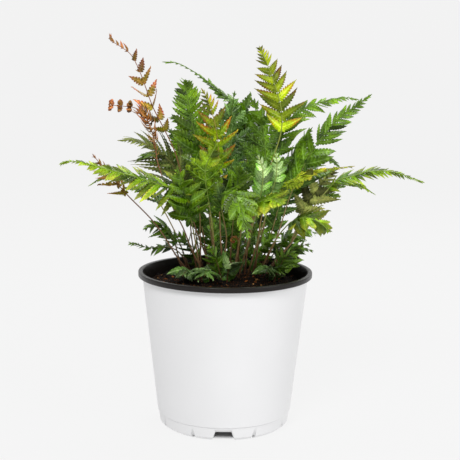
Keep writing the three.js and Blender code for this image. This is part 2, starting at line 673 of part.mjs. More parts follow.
function leafletShape(stalk, place, side, spacing, swing, growth) {
  const { plan } = stalk;
  const start = stalk.bladeStart + place * (stalk.length - stalk.bladeStart);
  const frame = stalk.at(start);
  const length = leafletLength(plan, place) * growth;
  const sweep = THREE.MathUtils.degToRad(plan.sweep - SWEEP_LOST * place);
  const lift = THREE.MathUtils.degToRad(swing);
  const outward = frame.side.clone().multiplyScalar(side * Math.sin(sweep) * Math.cos(lift))
    .addScaledVector(frame.along, Math.cos(sweep) * Math.cos(lift))
    .addScaledVector(frame.face, Math.sin(lift));
  const bend = frame.along.clone().multiplyScalar(plan.curl).addScaledVector(frame.face, -plan.droop);
  const root = frame.point.clone().addScaledVector(frame.side, side * stalk.width(start) / 2);
  const half = Math.min(0.5 * plan.fill * spacing * Math.sin(sweep), WIDEST_SHARE * length);

  const at = (share) => {
    const point = root.clone().addScaledVector(outward, length * share)
      .addScaledVector(bend, length * share * share);
    const ahead = outward.clone().addScaledVector(bend, 2 * share).normalize();
    const across = frame.along.clone().addScaledVector(ahead, -frame.along.dot(ahead)).normalize();
    const up = new THREE.Vector3().crossVectors(ahead, across).multiplyScalar(side);
    return { point, across, up };
  };
  return { length, half, at, widths: leafletWidths(length, half) };
}

function leafletSamples(shape) {
  const samples = [];
  const steps = Math.ceil(shape.length / SAMPLE_STEP);
  for (let i = 1; i <= steps; i += 1) {
    const share = i / steps;
    const { point, across } = shape.at(share);
    const width = halfWidth(shape.half, share);
    const rows = Math.ceil(width / SAMPLE_STEP);
    for (let j = -rows; j <= rows; j += 1) {
      samples.push(point.clone().addScaledVector(across, width * j / Math.max(rows, 1)));
    }
  }
  return samples;
}

function roomyLeaflet(stalk, place, side, spacing, space) {
  for (const growth of GROWTHS) {
    for (const swing of SWINGS) {
      const shape = leafletShape(stalk, place, side, spacing, swing, growth);
      const samples = leafletSamples(shape);
      const isClear = samples.every((p) => clearOfPot(p) && space.isFree(p, stalk));
      if (isClear) {
        samples.forEach((p) => space.add(p, stalk));
        return shape;
      }
    }
  }
  return null;
}

// Fronds: one closed skin over the stalk and all its leaflets

class Skin {
  constructor() {
    this.positions = [];
    this.indices = [];
  }

  corner(point) {
    this.positions.push(...point.toArray());
    return this.positions.length / 3 - 1;
  }

  triangle(a, b, c, mirrored = false) {
    if (mirrored) this.indices.push(a, c, b);
    else this.indices.push(a, b, c);
  }

  quad(a, b, c, d, mirrored = false) {
    this.triangle(a, b, c, mirrored);
    this.triangle(a, c, d, mirrored);
  }

  // Two corners, one above the other, at the place of a blade's edge
  edge(point, up, thickness) {
    return [1, -1].map((way) => this.corner(point.clone().addScaledVector(up, way * thickness / 2)));
  }

  // A ring round the stalk: upper left, upper right, lower right and lower left
  ring(stalk, distance, width, thickness) {
    const { point, face, side } = stalk.at(distance);
    const spots = [[-1, 1], [1, 1], [1, -1], [-1, -1]];
    return spots.map(([right, up]) => this.corner(point.clone()
      .addScaledVector(side, right * width / 2)
      .addScaledVector(face, up * thickness / 2)));
  }
}

function addLeaflet(skin, shape, near, far, mirrored) {
  let [nearTop, nearFoot] = near;
  let [farTop, farFoot] = far;
  const wall = (a, b, c, d) => skin.quad(a, b, c, d, mirrored);
  for (const [share, width] of shape.widths) {
    const { point, across, up } = shape.at(share);
    const nextNear = skin.edge(point.clone().addScaledVector(across, -width), up, BLADE_THICKNESS);
    const nextFar = skin.edge(point.clone().addScaledVector(across, width), up, BLADE_THICKNESS);
    skin.triangle(nearTop, nextNear[0], nextFar[0], mirrored);
    skin.triangle(nearTop, nextFar[0], farTop, mirrored);
    skin.triangle(nearFoot, nextFar[1], nextNear[1], mirrored);
    skin.triangle(nearFoot, farFoot, nextFar[1], mirrored);
    wall(nearTop, nearFoot, nextNear[1], nextNear[0]);
    wall(farFoot, farTop, nextFar[0], nextFar[1]);
    [nearTop, nearFoot] = nextNear;
    [farTop, farFoot] = nextFar;
  }
  const end = shape.at(1);
  const tip = skin.edge(end.point, end.up, BLADE_THICKNESS);
  skin.triangle(nearTop, tip[0], farTop, mirrored);
  skin.triangle(nearFoot, farFoot, tip[1], mirrored);
  wall(nearTop, nearFoot, tip[1], tip[0]);
  wall(farFoot, farTop, tip[0], tip[1]);
}

function frondGeometry(stalk, space) {
  const { plan } = stalk;
  const skin = new Skin();
  const stations = [];
  const [x, y] = plan.foot;
  const foot = new THREE.Vector3(x, y, ROOT_FOOT);
  const { face } = stalk.at(0);
  const level = new THREE.Vector3(face.x, face.y, 0).normalize();
  const across = new THREE.Vector3(0, 0, 1).cross(level);
  stations.push({
    ring: [[-1, 1], [1, 1], [1, -1], [-1, -1]].map(([right, up]) => skin.corner(foot.clone()
      .addScaledVector(across, right * STALK_WIDTH / 2)
      .addScaledVector(level, up * STALK_WIDTH / 2))),
  });
  const addRing = (distance, leaflets = []) => {
    const width = stalk.width(distance);
    stations.push({ ring: skin.ring(stalk, distance, width, width), leaflets });
  };
  const steps = Math.max(2, Math.ceil(stalk.bladeStart / plan.step));
  for (let i = 0; i <= steps; i += 1) addRing(stalk.bladeStart * i / steps);

  const blade = stalk.length - stalk.bladeStart;
  const places = pairPlaces(plan);
  const middle = (i) => (places[i] + places[i + 1]) / 2;
  let end = 0;
  places.forEach((place, i) => {
    const before = i > 0 ? middle(i - 1) : 1.5 * place - 0.5 * places[1];
    const after = i < places.length - 1 ? middle(i) : 1.5 * place - 0.5 * places[i - 1];
    const spacing = (after - before) * blade;
    const isLobe = leafletLength(plan, place) < LONGEST_LOBE;
    const rootWidth = THREE.MathUtils.clamp(ROOT_SHARE * spacing, NARROWEST_ROOT, WIDEST_ROOT);
    const root = rootWidth / blade;
    const leaflets = [-1, 1].map((side) => roomyLeaflet(stalk, place, side, spacing, space));
    const start = isLobe ? before : place - root / 2;
    if (start - end < 1e-6) stations[stations.length - 1].leaflets = leaflets;
    else addRing(stalk.bladeStart + start * blade, leaflets);
    end = isLobe ? after : place + root / 2;
    addRing(stalk.bladeStart + end * blade);
  });
  if (plan.pairs > 0) {
    const left = blade * (1 - end);
    const tipRing = skin.ring(stalk, stalk.length - left / 2, left * TIP_SHARE, BLADE_THICKNESS);
    stations.push({ ring: tipRing });
    stations.push({ ring: skin.ring(stalk, stalk.length, TIP_WIDTH, BLADE_THICKNESS) });
  }

  for (let i = 0; i < stations.length - 1; i += 1) {
    const [a, b, c, d] = stations[i].ring;
    const [e, f, g, h] = stations[i + 1].ring;
    const [leftLeaflet, rightLeaflet] = stations[i].leaflets ?? [];
    skin.quad(a, b, f, e);
    skin.quad(c, d, h, g);
    if (rightLeaflet) addLeaflet(skin, rightLeaflet, [b, c], [f, g], false);
    else skin.quad(b, c, g, f);
    if (leftLeaflet) addLeaflet(skin, leftLeaflet, [a, d], [e, h], true);
    else skin.quad(d, a, e, h);
  }
  const first = stations[0].ring;
  const last = stations[stations.length - 1].ring;
  skin.quad(first[3], first[2], first[1], first[0]);
  skin.quad(...last);
  return closedGeometry(skin.positions, skin.indices);
}

// The whole plant

const plant = new THREE.Group();

function addPart(name, geometry, color, roughness) {
  geometry.computeVertexNormals();
  const material = new THREE.MeshStandardMaterial({ color, roughness, metalness: 0 });
  const mesh = new THREE.Mesh(geometry, material);
  mesh.name = name;
  plant.add(mesh);
}

addPart('pot', potGeometry(), '#ededeb', 0.35);
addPart('soil', soilGeometry(), '#2a1c12', 1);

const space = new Space(ROOM);
const stalks = FRONDS.map((plan) => new Stalk(plan));
for (const stalk of stalks) {
  const steps = Math.ceil(stalk.length / SAMPLE_STEP);
  for (let i = 0; i <= steps; i += 1) space.add(stalk.at(stalk.length * i / steps).point, stalk);
}
for (const stalk of stalks) {
  addPart(stalk.plan.name, frondGeometry(stalk, space), TONES[stalk.plan.tone], 0.5);
}

export default plant;
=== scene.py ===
import json
import math

import bmesh
import bpy
import numpy as np
from mathutils import Matrix, Vector, kdtree

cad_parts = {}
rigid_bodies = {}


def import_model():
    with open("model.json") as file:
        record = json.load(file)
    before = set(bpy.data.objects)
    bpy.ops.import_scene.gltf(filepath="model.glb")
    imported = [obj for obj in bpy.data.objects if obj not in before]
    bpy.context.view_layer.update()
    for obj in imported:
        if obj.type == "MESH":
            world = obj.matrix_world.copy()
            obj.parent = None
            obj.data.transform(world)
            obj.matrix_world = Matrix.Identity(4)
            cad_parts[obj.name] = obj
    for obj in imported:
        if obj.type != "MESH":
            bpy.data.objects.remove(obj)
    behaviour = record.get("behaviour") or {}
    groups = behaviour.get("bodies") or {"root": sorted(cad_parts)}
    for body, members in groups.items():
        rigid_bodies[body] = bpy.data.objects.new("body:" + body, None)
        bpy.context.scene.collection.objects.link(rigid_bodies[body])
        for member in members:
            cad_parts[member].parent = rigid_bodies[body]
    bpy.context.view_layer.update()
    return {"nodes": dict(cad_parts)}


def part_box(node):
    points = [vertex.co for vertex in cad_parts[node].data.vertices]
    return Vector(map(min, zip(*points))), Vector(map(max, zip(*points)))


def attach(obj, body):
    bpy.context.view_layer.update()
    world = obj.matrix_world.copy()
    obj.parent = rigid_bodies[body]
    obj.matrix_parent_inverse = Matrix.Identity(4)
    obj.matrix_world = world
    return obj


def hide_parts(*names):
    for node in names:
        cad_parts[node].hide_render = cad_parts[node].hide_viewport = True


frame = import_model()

bl_info = {
    "name": "Potted autumn fern",
    "version": (1, 0, 0),
    "blender": (4, 5, 0),
    "location": "View3D > Sidebar > Fern",
    "description": "Dresses the potted autumn fern: pot, soil, fronds and the photo stage",
    "category": "Object",
}

MM = 0.001

# Sizes and heights in millimetres that the frame does not give as a box, with a few counts and the
# angle between slots in degrees
RIM_HEIGHT = 5
ROUNDING = 1.0
RIM_INNER_RADIUS = 83.6
WALL_TOP_RADIUS = 83.8
WALL_FOOT_RADIUS = 68.1
WALL_THICKNESS = 1.6
FOOT_HEIGHT = 14
FOOT_RADIUS = 65.8
FOOT_CHAMFER = 3.2
FOOT_STEP = 0.9
FOOT_STEP_HEIGHT = 0.4
RIM_DEPTH = 2
BASE_RADIUS = 61.5
BASE_THICKNESS = 2
SLOT_COUNT = 4
SLOT_TOP_WIDTH = 15.6
SLOT_FOOT_WIDTH = 23.4
SLOT_HEIGHT = 10.3
SLOT_INNER_RADIUS = 56
SLOT_OUTER_RADIUS = 74
SMALL_SLOT_WIDTH = 3.4
SMALL_SLOT_HEIGHT = 4.5
SMALL_SLOT_ANGLE = 27
SOIL_EDGE_LEVEL = 144
SOIL_EDGE_DROP = 2
SOIL_MOUND = 4
SOIL_BUMP = 0.9
SOIL_CRUMBLE = 0.45
SOIL_GAP = 0.5
SOIL_RINGS = 44
SOIL_SIDES = 150
ROOT_TOP = 150
ROOT_FOOT = 134
NEARLY = 0.5

# Form of a frond in millimetres, shares and degrees, the same for the solids and the finer pieces.
# A leaflet is swung or kept small, by one of SWINGS and GROWTHS, where it has no room. In a plan,
# fullest is the share of the blade where leaflets are longest, sweep their angle to the stalk, fill
# their width against their room, droop and curl how far they bend down and towards the tip, and
# taper how fast they shorten towards it.
STALK_WIDTH = 2
RIB_WIDTH = 1.4
TIP_WIDTH = 0.8
BLADE_THICKNESS = 0.64
WIDEST_SHARE = 0.3
LOWEST_SHARE = 0.75
FIRST_PAIR = 0.3
CROWDING = 1.15
SWEEP_LOST = 14
SHORTEST = 3
SWINGS = (0, 10, -10, 20, -20, 30, -30, 42, -42)
GROWTHS = (1, 0.84, 0.68, 0.52, 0.38)
USUAL = dict(fullest=0.2, sweep=62, fill=0.92, droop=0.14, curl=0.12, taper=0.9)


def frond(name, tone, foot, face, bare, pairs, reach, *route, **more):
    """One frond's plan: where it leaves the soil, the way its upper side looks, the share of it
    that is bare stalk, its pairs of leaflets, its longest leaflet and its route to the tip."""
    return dict(USUAL, name=name, tone=tone, foot=foot, face=face, route=route, bare=bare,
                pairs=pairs, reach=reach, **more)


FRONDS = [
    frond("frond_crown_tip", "spring", (20, 28), (0, -1, 0.1), 0.64, 10, 26,
          (24, 20, 186), (34, 10, 234), (48, 6, 275), (55, 6, 302), (54, 6, 322), (49, 5, 340),
          (42, 3, 359), (36, 1, 372), (31, 0, 383), fullest=0.15, sweep=64),
    frond("frond_bronze_tall", "bronze", (-14, 30), (0.3, -1, 0.2), 0.57, 10, 15,
          (-33, 20, 204), (-44, 10, 250), (-52, 4, 278), (-61, 0, 298), (-73, -4, 322), (-79, -7, 339),
          (-86, -9, 358), (-94, -10, 373), (-105, -10, 381), (-114, -9, 387), (-115, -8, 393), fullest=0.3,
          sweep=52, fill=0.8),
    frond("frond_bronze_low", "bronze", (-21, 12), (0.2, -1, 0.3), 0.58, 7, 15,
          (-34, 8, 176), (-43, 4, 200), (-54, 0, 223), (-61, -5, 246), (-68, -9, 268), (-71, -11, 289),
          (-77, -13, 308), (-83, -14, 318), (-92, -15, 322), (-103, -15, 323), (-114, -15, 324), sweep=50,
          fill=0.6),
    frond("frond_long_right", "dark", (36, 30), (-0.55, -0.75, 0.3), 0.42, 11, 33,
          (52, 28, 185), (66, 24, 232), (83, 18, 271), (96, 14, 292), (113, 10, 312), (128, 6, 324),
          (144, 2, 337), fullest=0.12, sweep=58),
    frond("frond_arch_right", "bright", (26, 44), (-0.3, -0.6, 0.8), 0.5, 11, 26,
          (38, 48, 186), (48, 50, 245), (57, 50, 292), (66, 50, 309), (79, 50, 319), (100, 52, 327),
          (123, 54, 331), (138, 56, 329), fullest=0.1, sweep=58, fill=0.84),
    frond("frond_far_right", "spring", (40, 22), (-0.1, -0.45, 1), 0.52, 11, 20,
          (66, 20, 181), (86, 12, 217), (101, 4, 239), (112, -2, 251), (127, -6, 256), (142, -10, 261),
          (165, -14, 261), (179, -16, 257), (196, -18, 251), fullest=0.1, sweep=60),
    frond("frond_left_arch", "bright", (-26, 26), (0.1, -0.6, 1), 0.38, 12, 34,
          (-26, 10, 192), (-28, -8, 225), (-40, -18, 240), (-59, -28, 246), (-78, -34, 253),
          (-97, -38, 259), (-116, -40, 264), (-138, -42, 270), (-153, -43, 271), (-160, -44, 268),
          taper=1.2),
    frond("frond_left_comb", "olive", (-30, 32), (-0.25, -0.65, 0.7), 0.44, 10, 36,
          (-35, 28, 184), (-39, 24, 221), (-46, 16, 251), (-55, 10, 265), (-67, 4, 277), (-80, 0, 285),
          (-94, -5, 289), (-108, -10, 289), fullest=0.25, sweep=50, droop=0.2),
    frond("frond_young_left", "turning", (-36, 16), (0.2, -0.8, 0.6), 0.68, 6, 18,
          (-48, 10, 167), (-70, -2, 204), (-99, -14, 237), (-114, -20, 256), (-125, -22, 269),
          (-131, -22, 277), fullest=0.3, sweep=58),
    frond("frond_bright_upright", "bright", (-8, 20), (0, -1, 0.1), 0.55, 9, 27,
          (-14, 16, 186), (-20, 8, 239), (-28, 2, 279), (-35, -3, 311), (-38, -6, 329), (-41, -10, 343),
          (-40, -18, 350), fullest=0.15),
    frond("frond_long_tip", "dark", (2, 52), (-0.2, -0.5, 1), 0.5, 11, 27,
          (15, 60, 190), (21, 66, 253), (20, 66, 296), (15, 62, 320), (1, 58, 330), (-16, 52, 343),
          (-34, 46, 356), (-52, 42, 365), (-67, 40, 366), fullest=0.1, taper=1.7),
    frond("frond_orange_edge", "turning", (30, 8), (0.1, 0.3, 1), 0.55, 8, 19,
          (36, -20, 218), (46, -36, 245), (61, -42, 253), (71, -44, 259), (85, -46, 265), (106, -48, 268),
          (123, -50, 270)),
    frond("frond_pale_left", "pale", (14, 6), (0.1, -0.9, 0.5), 0.7, 7, 13,
          (23, -8, 190), (30, -34, 222), (33, -52, 241), (35, -60, 256), (34, -65, 270), (29, -69, 282),
          fullest=0.35, sweep=56, fill=1, taper=0.7),
    frond("frond_pale_right", "pale", (22, 2), (-0.1, -0.9, 0.5), 0.7, 7, 12,
          (32, -12, 190), (40, -34, 222), (43, -46, 240), (47, -54, 256), (48, -60, 270), (47, -64, 284),
          fullest=0.35, sweep=56, fill=1, taper=0.7),
    frond("frond_yellow_front", "turning", (8, 0), (0, -0.6, 0.8), 0.66, 5, 26,
          (14, -14, 191), (19, -44, 221), (29, -66, 236), (38, -80, 241), (46, -92, 242), (53, -100, 238)),
    frond("frond_hang_front", "bright", (-6, 2), (0, -0.8, 0.6), 0.55, 8, 27,
          (1, -14, 191), (-4, -40, 230), (2, -62, 247), (10, -84, 244), (15, -98, 232), (20, -108, 215),
          (21, -112, 207), fullest=0.25, sweep=58),
    frond("frond_low_right", "spring", (34, 14), (0, -0.5, 1), 0.58, 7, 27,
          (45, 4, 178), (56, -7, 199), (67, -18, 212), (80, -29, 217), (92, -36, 213), (102, -41, 204)),
    frond("frond_bronze_yellow", "turning", (-2, 14), (0.1, -1, 0.3), 0.6, 7, 27,
          (-5, 6, 188), (-7, -6, 240), (-8, -14, 286), (-10, -18, 301), (-14, -22, 317), (-19, -26, 332),
          (-25, -28, 342)),
    frond("frond_bright_front", "bright", (-12, 8), (0, -1, 0.4), 0.62, 6, 24,
          (-12, -6, 190), (-17, -24, 233), (-20, -36, 254), (-19, -44, 269), (-13, -50, 282),
          (-8, -54, 292)),
    frond("frond_dark_centre", "dark", (8, 40), (0, -1, 0.2), 0.5, 9, 32,
          (21, 40, 182), (33, 36, 230), (40, 32, 267), (38, 30, 288), (36, 28, 306), (29, 26, 323),
          (21, 24, 333)),
    frond("frond_olive_under", "olive", (44, 36), (0.2, 0.6, 0.8), 0.55, 6, 27,
          (69, 36, 184), (77, 34, 210), (86, 30, 227), (94, 26, 240), (104, 22, 253), (113, 18, 263),
          fullest=0.25),
    frond("frond_dark_back_left", "dark", (-24, 48), (0, -0.8, 0.6), 0.5, 9, 33,
          (-32, 52, 190), (-28, 58, 243), (-32, 60, 275), (-41, 62, 293), (-52, 64, 306), (-62, 66, 308)),
    frond("frond_mid_left", "dark", (-18, 40), (0.1, -0.9, 0.4), 0.42, 8, 36,
          (-24, 40, 190), (-32, 38, 232), (-40, 34, 262), (-50, 30, 286), (-60, 26, 300)),
    frond("frond_mid_right", "dark", (36, 42), (-0.1, -0.9, 0.4), 0.42, 8, 36,
          (48, 42, 190), (58, 41, 230), (66, 39, 260), (76, 35, 284), (88, 31, 302)),
    frond("frond_centre_low", "dark", (4, 26), (0, -0.8, 0.5), 0.4, 7, 36,
          (6, 18, 184), (8, 6, 214), (10, -8, 238), (12, -22, 256), (14, -34, 268)),
    frond("frond_front_left", "bright", (-24, -2), (0.2, -0.8, 0.6), 0.5, 6, 30,
          (-30, -12, 188), (-35, -24, 218), (-40, -35, 240), (-44, -44, 256), (-47, -51, 268)),
    frond("frond_centre_high", "dark", (12, 50), (0, -0.9, 0.5), 0.56, 8, 30,
          (10, 52, 200), (6, 53, 250), (4, 50, 290), (5, 45, 318), (8, 38, 338)),
    frond("frond_back_left", "dark", (-18, 62), (0.2, -0.2, 1), 0.42, 9, 36,
          (-30, 82, 200), (-48, 108, 240), (-68, 136, 262), (-90, 162, 262), (-108, 180, 248)),
    frond("frond_back", "bright", (6, 66), (0, -0.2, 1), 0.42, 9, 36,
          (8, 88, 206), (12, 114, 252), (18, 142, 278), (24, 172, 280), (30, 196, 264)),
    frond("frond_back_right", "dark", (36, 66), (-0.2, -0.2, 1), 0.42, 9, 34,
          (50, 82, 204), (68, 102, 244), (88, 126, 264), (112, 148, 262), (132, 166, 246)),
    frond("frond_side_left", "bright", (-38, 46), (0.3, -0.2, 1), 0.42, 8, 30,
          (-56, 54, 192), (-78, 66, 226), (-104, 80, 244), (-130, 92, 244), (-152, 100, 230)),
    frond("frond_side_right", "bright", (48, 50), (-0.3, -0.2, 1), 0.42, 8, 30,
          (68, 62, 190), (92, 78, 222), (118, 92, 238), (144, 104, 236), (166, 112, 222)),
    frond("frond_low_left_dark", "dark", (-44, 24), (0, -0.6, 1), 0.52, 5, 18,
          (-48, 24, 164), (-54, 20, 186), (-62, 14, 198), (-72, 8, 202), (-84, 2, 198)),
    frond("frond_low_left_thin", "dark", (-40, 38), (0, -0.6, 1), 0.4, 7, 8,
          (-43, 38, 161), (-52, 40, 171), (-64, 42, 174), (-80, 44, 172), (-96, 46, 176), (-103, 46, 177)),
    frond("frond_low_right_tip", "dark", (46, 44), (0, -0.6, 1), 0.35, 6, 12,
          (56, 46, 160), (65, 50, 168), (77, 54, 172), (94, 58, 168)),
    frond("frond_low_right_dark", "dark", (40, 52), (0, -0.6, 1), 0.4, 6, 19,
          (48, 50, 162), (60, 48, 178), (72, 47, 188), (85, 47, 192), (97, 48, 188)),
    frond("frond_low_back_left", "dark", (-8, 58), (0, -0.7, 0.6), 0.3, 7, 32,
          (-10, 66, 165), (-13, 74, 186), (-15, 80, 208), (-14, 88, 228)),
    frond("frond_low_back_right", "dark", (20, 56), (0, -0.7, 0.6), 0.3, 7, 32,
          (24, 62, 168), (30, 68, 190), (38, 74, 208), (48, 80, 222)),
    frond("frond_soil_right", "dark", (54, 26), (0, -0.4, 1), 0.25, 4, 13,
          (58, 23, 158), (64, 17, 162), (70, 9, 160), fullest=0.3, sweep=60),
    frond("frond_soil_mid_right", "bright", (44, 8), (0, -0.5, 1), 0.25, 4, 13,
          (45, 3, 158), (44, -8, 162), (42, -20, 160), fullest=0.3, sweep=60),
    frond("frond_soil_pale", "pale", (2, -10), (0, -0.8, 0.7), 0.25, 4, 15,
          (3, -14, 159), (4, -20, 167), (6, -30, 171), fullest=0.3, sweep=60),
    frond("frond_soil_front", "bright", (-16, -6), (0, -0.6, 0.9), 0.25, 4, 15,
          (-17, -12, 158), (-18, -22, 162), (-20, -34, 159), fullest=0.3, sweep=60),
    frond("frond_soil_left", "bright", (-34, 2), (0, -0.5, 1), 0.2, 4, 15,
          (-36, -3, 156), (-38, -13, 160), (-42, -25, 157), fullest=0.3, sweep=60),
    frond("frond_low_mid_left", "dark", (-7, 40), (0, -0.8, 0.6), 0.22, 6, 18,
          (-9, 42, 162), (-13, 44, 180), (-14, 46, 198), (-10, 48, 212)),
    frond("frond_low_mid", "dark", (15, 36), (0, -0.8, 0.6), 0.22, 6, 18,
          (14, 36, 162), (13, 37, 178), (11, 39, 194), (8, 41, 208)),
    frond("frond_low_mid_right", "dark", (29, 36), (0, -0.8, 0.6), 0.22, 6, 18,
          (32, 36, 162), (41, 36, 177), (51, 37, 187), (61, 38, 191)),
    frond("frond_low_far_right", "dark", (57, 32), (0, -0.8, 0.6), 0.22, 5, 17,
          (60, 30, 162), (67, 27, 172), (77, 24, 179), (88, 22, 182)),
    frond("frond_low_left", "dark", (-29, 42), (0, -0.8, 0.6), 0.22, 6, 16,
          (-33, 42, 162), (-40, 42, 176), (-48, 40, 186), (-56, 38, 190)),
    frond("frond_low_front_right", "dark", (50, -2), (0, -0.8, 0.6), 0.22, 6, 15,
          (54, -5, 160), (59, -10, 172), (66, -14, 178), (73, -16, 175)),
    frond("frond_low_front", "dark", (-4, -8), (0, -0.8, 0.6), 0.22, 5, 14,
          (-6, -12, 160), (-10, -18, 174), (-14, -24, 184), (-18, -28, 188)),
    frond("frond_low_back_mid", "dark", (4, 74), (0, -0.8, 0.6), 0.22, 7, 24,
          (6, 78, 164), (10, 82, 186), (14, 84, 204), (20, 84, 218)),
    frond("crozier", "bronze", (10, 14), (0, -1, 0.05), 1, 0, 0,
          (12, 13, 166), (13.4, 12, 178), (14, 11, 186), (11, 10, 191), (6.6, 9, 190.5), (5.2, 8.6, 186.5),
          (8, 8.2, 184.5), (10, 8, 186.8)),
]

# How the leaflets of each tone grow. pitch is how far apart they stand where they are longest, in
# millimetres. One shorter than whole is a single blade of the form leaf, and a longer one is cut
# into pinnules, cut millimetres apart. full is a blade's width against the room that it has, cup
# how far it bends down, twist how unevenly the leaflets lie, and blush how far the edge colour
# spreads from the tips. skirt is how many more pairs hang below the blade, grown the length of the
# leaflets against the solid's, crown how much longer they are near the tip, lean_over how much
# shorter those on the far side are there, tight how much closer they stand there, ears the size of
# the lobes at a leaflet's foot against its room, and light how much lighter than its tone a frond
# is. Bundled leaflets are still folded up.
ALL_LOOKS = dict(pitch=9, whole=99, leaf="serrate", cut=3, full=1.6, cup=0.2, twist=0.35, blush=0.3,
                 skirt=0, grown=1, crown=0, lean_over=0, tight=0.6, ears=0.7, light=0, bundled=False)
LOOKS = {
    "bronze": dict(ALL_LOOKS, pitch=13, leaf="lobed", full=1.15, cup=0.3, twist=0.6, blush=1.2, crown=0.9,
                   lean_over=0.75, tight=0.8, ears=0),
    "turning": dict(ALL_LOOKS, pitch=10, whole=14, leaf="lobed", full=1.5, blush=1.0),
    "spring": dict(ALL_LOOKS, full=1.35, twist=0.2, blush=1.2, ears=0.5),
    "bright": dict(ALL_LOOKS, pitch=11, whole=13, leaf="crenate", cut=2.9, full=1.4, blush=0.4),
    "olive": dict(ALL_LOOKS, leaf="comb", full=1.1, cup=0.6, blush=0.2),
    "dark": dict(ALL_LOOKS, pitch=10, twist=0.4, blush=0.15, skirt=2),
    "pale": dict(ALL_LOOKS, pitch=8.5, leaf="oblong", full=1.35, blush=1.3, ears=0.4),
}
ON_SOIL = dict(pitch=9, whole=99, leaf="oblong", full=2.0, cup=0.6, twist=0.6, skirt=1, grown=1.5, blush=0.3)
LOW = dict(twist=0.8, cup=0.6, full=1.35, grown=1.1)
LOW_PLACES = ("back_left", "back_mid", "back_right", "far_right", "front", "front_right", "left",
              "left_dark", "mid", "mid_left", "mid_right", "right_dark")

# Where one frond differs from the others of its tone
OWN_LOOKS = {
    "frond_bronze_low": dict(bundled=True),
    "frond_bronze_yellow": dict(whole=99, full=1.05, twist=0.6, cup=0.6, blush=1.4, skirt=3, light=-1.1),
    "frond_left_comb": dict(pitch=8, full=1.5, cup=0.9, crown=0.35, lean_over=0.65, light=-0.5),
    "frond_left_arch": dict(pitch=8, whole=99, full=1.3, blush=0.8, light=-0.5, cup=0.5),
    "frond_young_left": dict(leaf="comb", full=0.9, twist=1.0, cup=1.2, light=0.5),
    "frond_arch_right": dict(pitch=8, whole=99, full=1.3, cup=0.5, light=1.5),
    "frond_far_right": dict(pitch=6, full=1.4, blush=0.8, light=-0.3),
    "frond_long_right": dict(leaf="crenate", full=1.15, cup=0.5, twist=0.3, skirt=0, light=1.1),
    "frond_olive_under": dict(leaf="serrate", full=1.5),
    "frond_long_tip": dict(pitch=11, leaf="lobed", skirt=1, light=0.6),
    "frond_bright_upright": dict(pitch=9, whole=99, full=1.45, crown=0.8, ears=0.9, light=0.4),
    "frond_crown_tip": dict(crown=0.5, blush=1.5, light=-1.0),
    "frond_bright_front": dict(skirt=2, light=-0.8),
    "frond_front_left": dict(whole=99, full=1.5, twist=0.6, light=0.6),
    "frond_side_left": dict(light=-0.6),
    "frond_hang_front": dict(pitch=10, whole=99, full=1.7, skirt=2, light=0.3),
    "frond_dark_centre": dict(pitch=11, whole=14, full=1.5, skirt=3, light=1.1),
    "frond_centre_high": dict(pitch=11, whole=14, full=1.5, skirt=3, light=1),
    "frond_mid_left": dict(pitch=11, leaf="lobed", skirt=4, light=0.5),
    "frond_mid_right": dict(skirt=4, light=0.8),
    "frond_centre_low": dict(pitch=11, leaf="lobed", skirt=5),
    "frond_yellow_front": dict(whole=99, leaf="crenate", crown=0.4, full=1.8, blush=0.9),
    "frond_low_right": dict(pitch=10, leaf="crenate", full=1.6, blush=0.8, crown=0.4, light=-0.8),
    "frond_low_left_thin": dict(pitch=6, full=1.1, skirt=0, grown=1.4),
    "frond_soil_pale": dict(ON_SOIL, grown=1.1, twist=0.4, light=-2),
    "frond_soil_front": ON_SOIL,
    "frond_soil_left": ON_SOIL,
    "frond_soil_mid_right": ON_SOIL,
    "frond_soil_right": dict(ON_SOIL, light=0.5),
    **{f"frond_low_{place}": LOW for place in LOW_PLACES},
}


def linear(code):
    """The linear colour of an sRGB hex code."""
    values = [int(code[i:i + 2], 16) / 255 for i in (1, 3, 5)]
    return [v / 12.92 if v <= 0.04045 else ((v + 0.055) / 1.055) ** 2.4 for v in values] + [1.0]


def add(tree, kind, inputs=None, **settings):
    """Adds a node with its settings, and sets its inputs or links them. A node among them gives its
    first output in use."""
    node = tree.nodes.new(kind)
    for name, value in settings.items():
        setattr(node, name, value)
    for key, value in (inputs or {}).items():
        if isinstance(value, bpy.types.Node):
            value = next(socket for socket in value.outputs if socket.enabled)
        if isinstance(value, bpy.types.NodeSocket):
            tree.links.new(value, node.inputs[key])
        else:
            node.inputs[key].default_value = value
    return node


def finish(name):
    """A new material and its empty tree."""
    material = bpy.data.materials.new(name)
    material.use_nodes = True
    material.node_tree.nodes.clear()
    return material, material.node_tree


# Settings

COLOUR = dict(subtype="COLOR", size=4, min=0, max=1)

# For each finish: the leaf low on the frond, the leaf near the tip, its edges, its veins and
# underside, the stalk at the soil, the stalk near the tip and the ribs of the leaflets.
TONES = {
    "bronze": ("#7c7a14", "#946034", "#a05040", "#b98048", "#5a3e2a", "#8a5a40", "#b07058"),
    "turning": ("#6c9800", "#a0a800", "#a8500c", "#b6c040", "#7a5c3c", "#988a3c", "#b4b04a"),
    "spring": ("#789800", "#acbc00", "#904408", "#b8c448", "#7a5c3c", "#8a983e", "#a9bc54"),
    "bright": ("#447000", "#88a808", "#c8c440", "#94b448", "#846a48", "#829c3c", "#8db048"),
    "olive": ("#4c5e24", "#74823c", "#8a6e24", "#8f8a4c", "#5c4a30", "#6d6c3c", "#7c8040"),
    "dark": ("#2e4c00", "#5c8000", "#7c9004", "#7c9c4c", "#5c4a30", "#607a30", "#648a34"),
    # The pale finish's leaf near the tip, #d8eaac, is partly the pale leaf's own colour and partly a painted
    # whitish sheen
    "pale": ("#74ac34", "#d8eaac", "#74ac20", "#2c7010", "#847048", "#9cb05c", "#6ca03c"),
    "ground": ("#2c5008", "#608438", "#587c2c", "#9cb878", "#5c4a30", "#607a30", "#648a34"),
}
LEAF_PARTS = {"deep": "Leaf low on the frond", "fresh": "Leaf near the tip", "edge": "Edge of the leaf"}


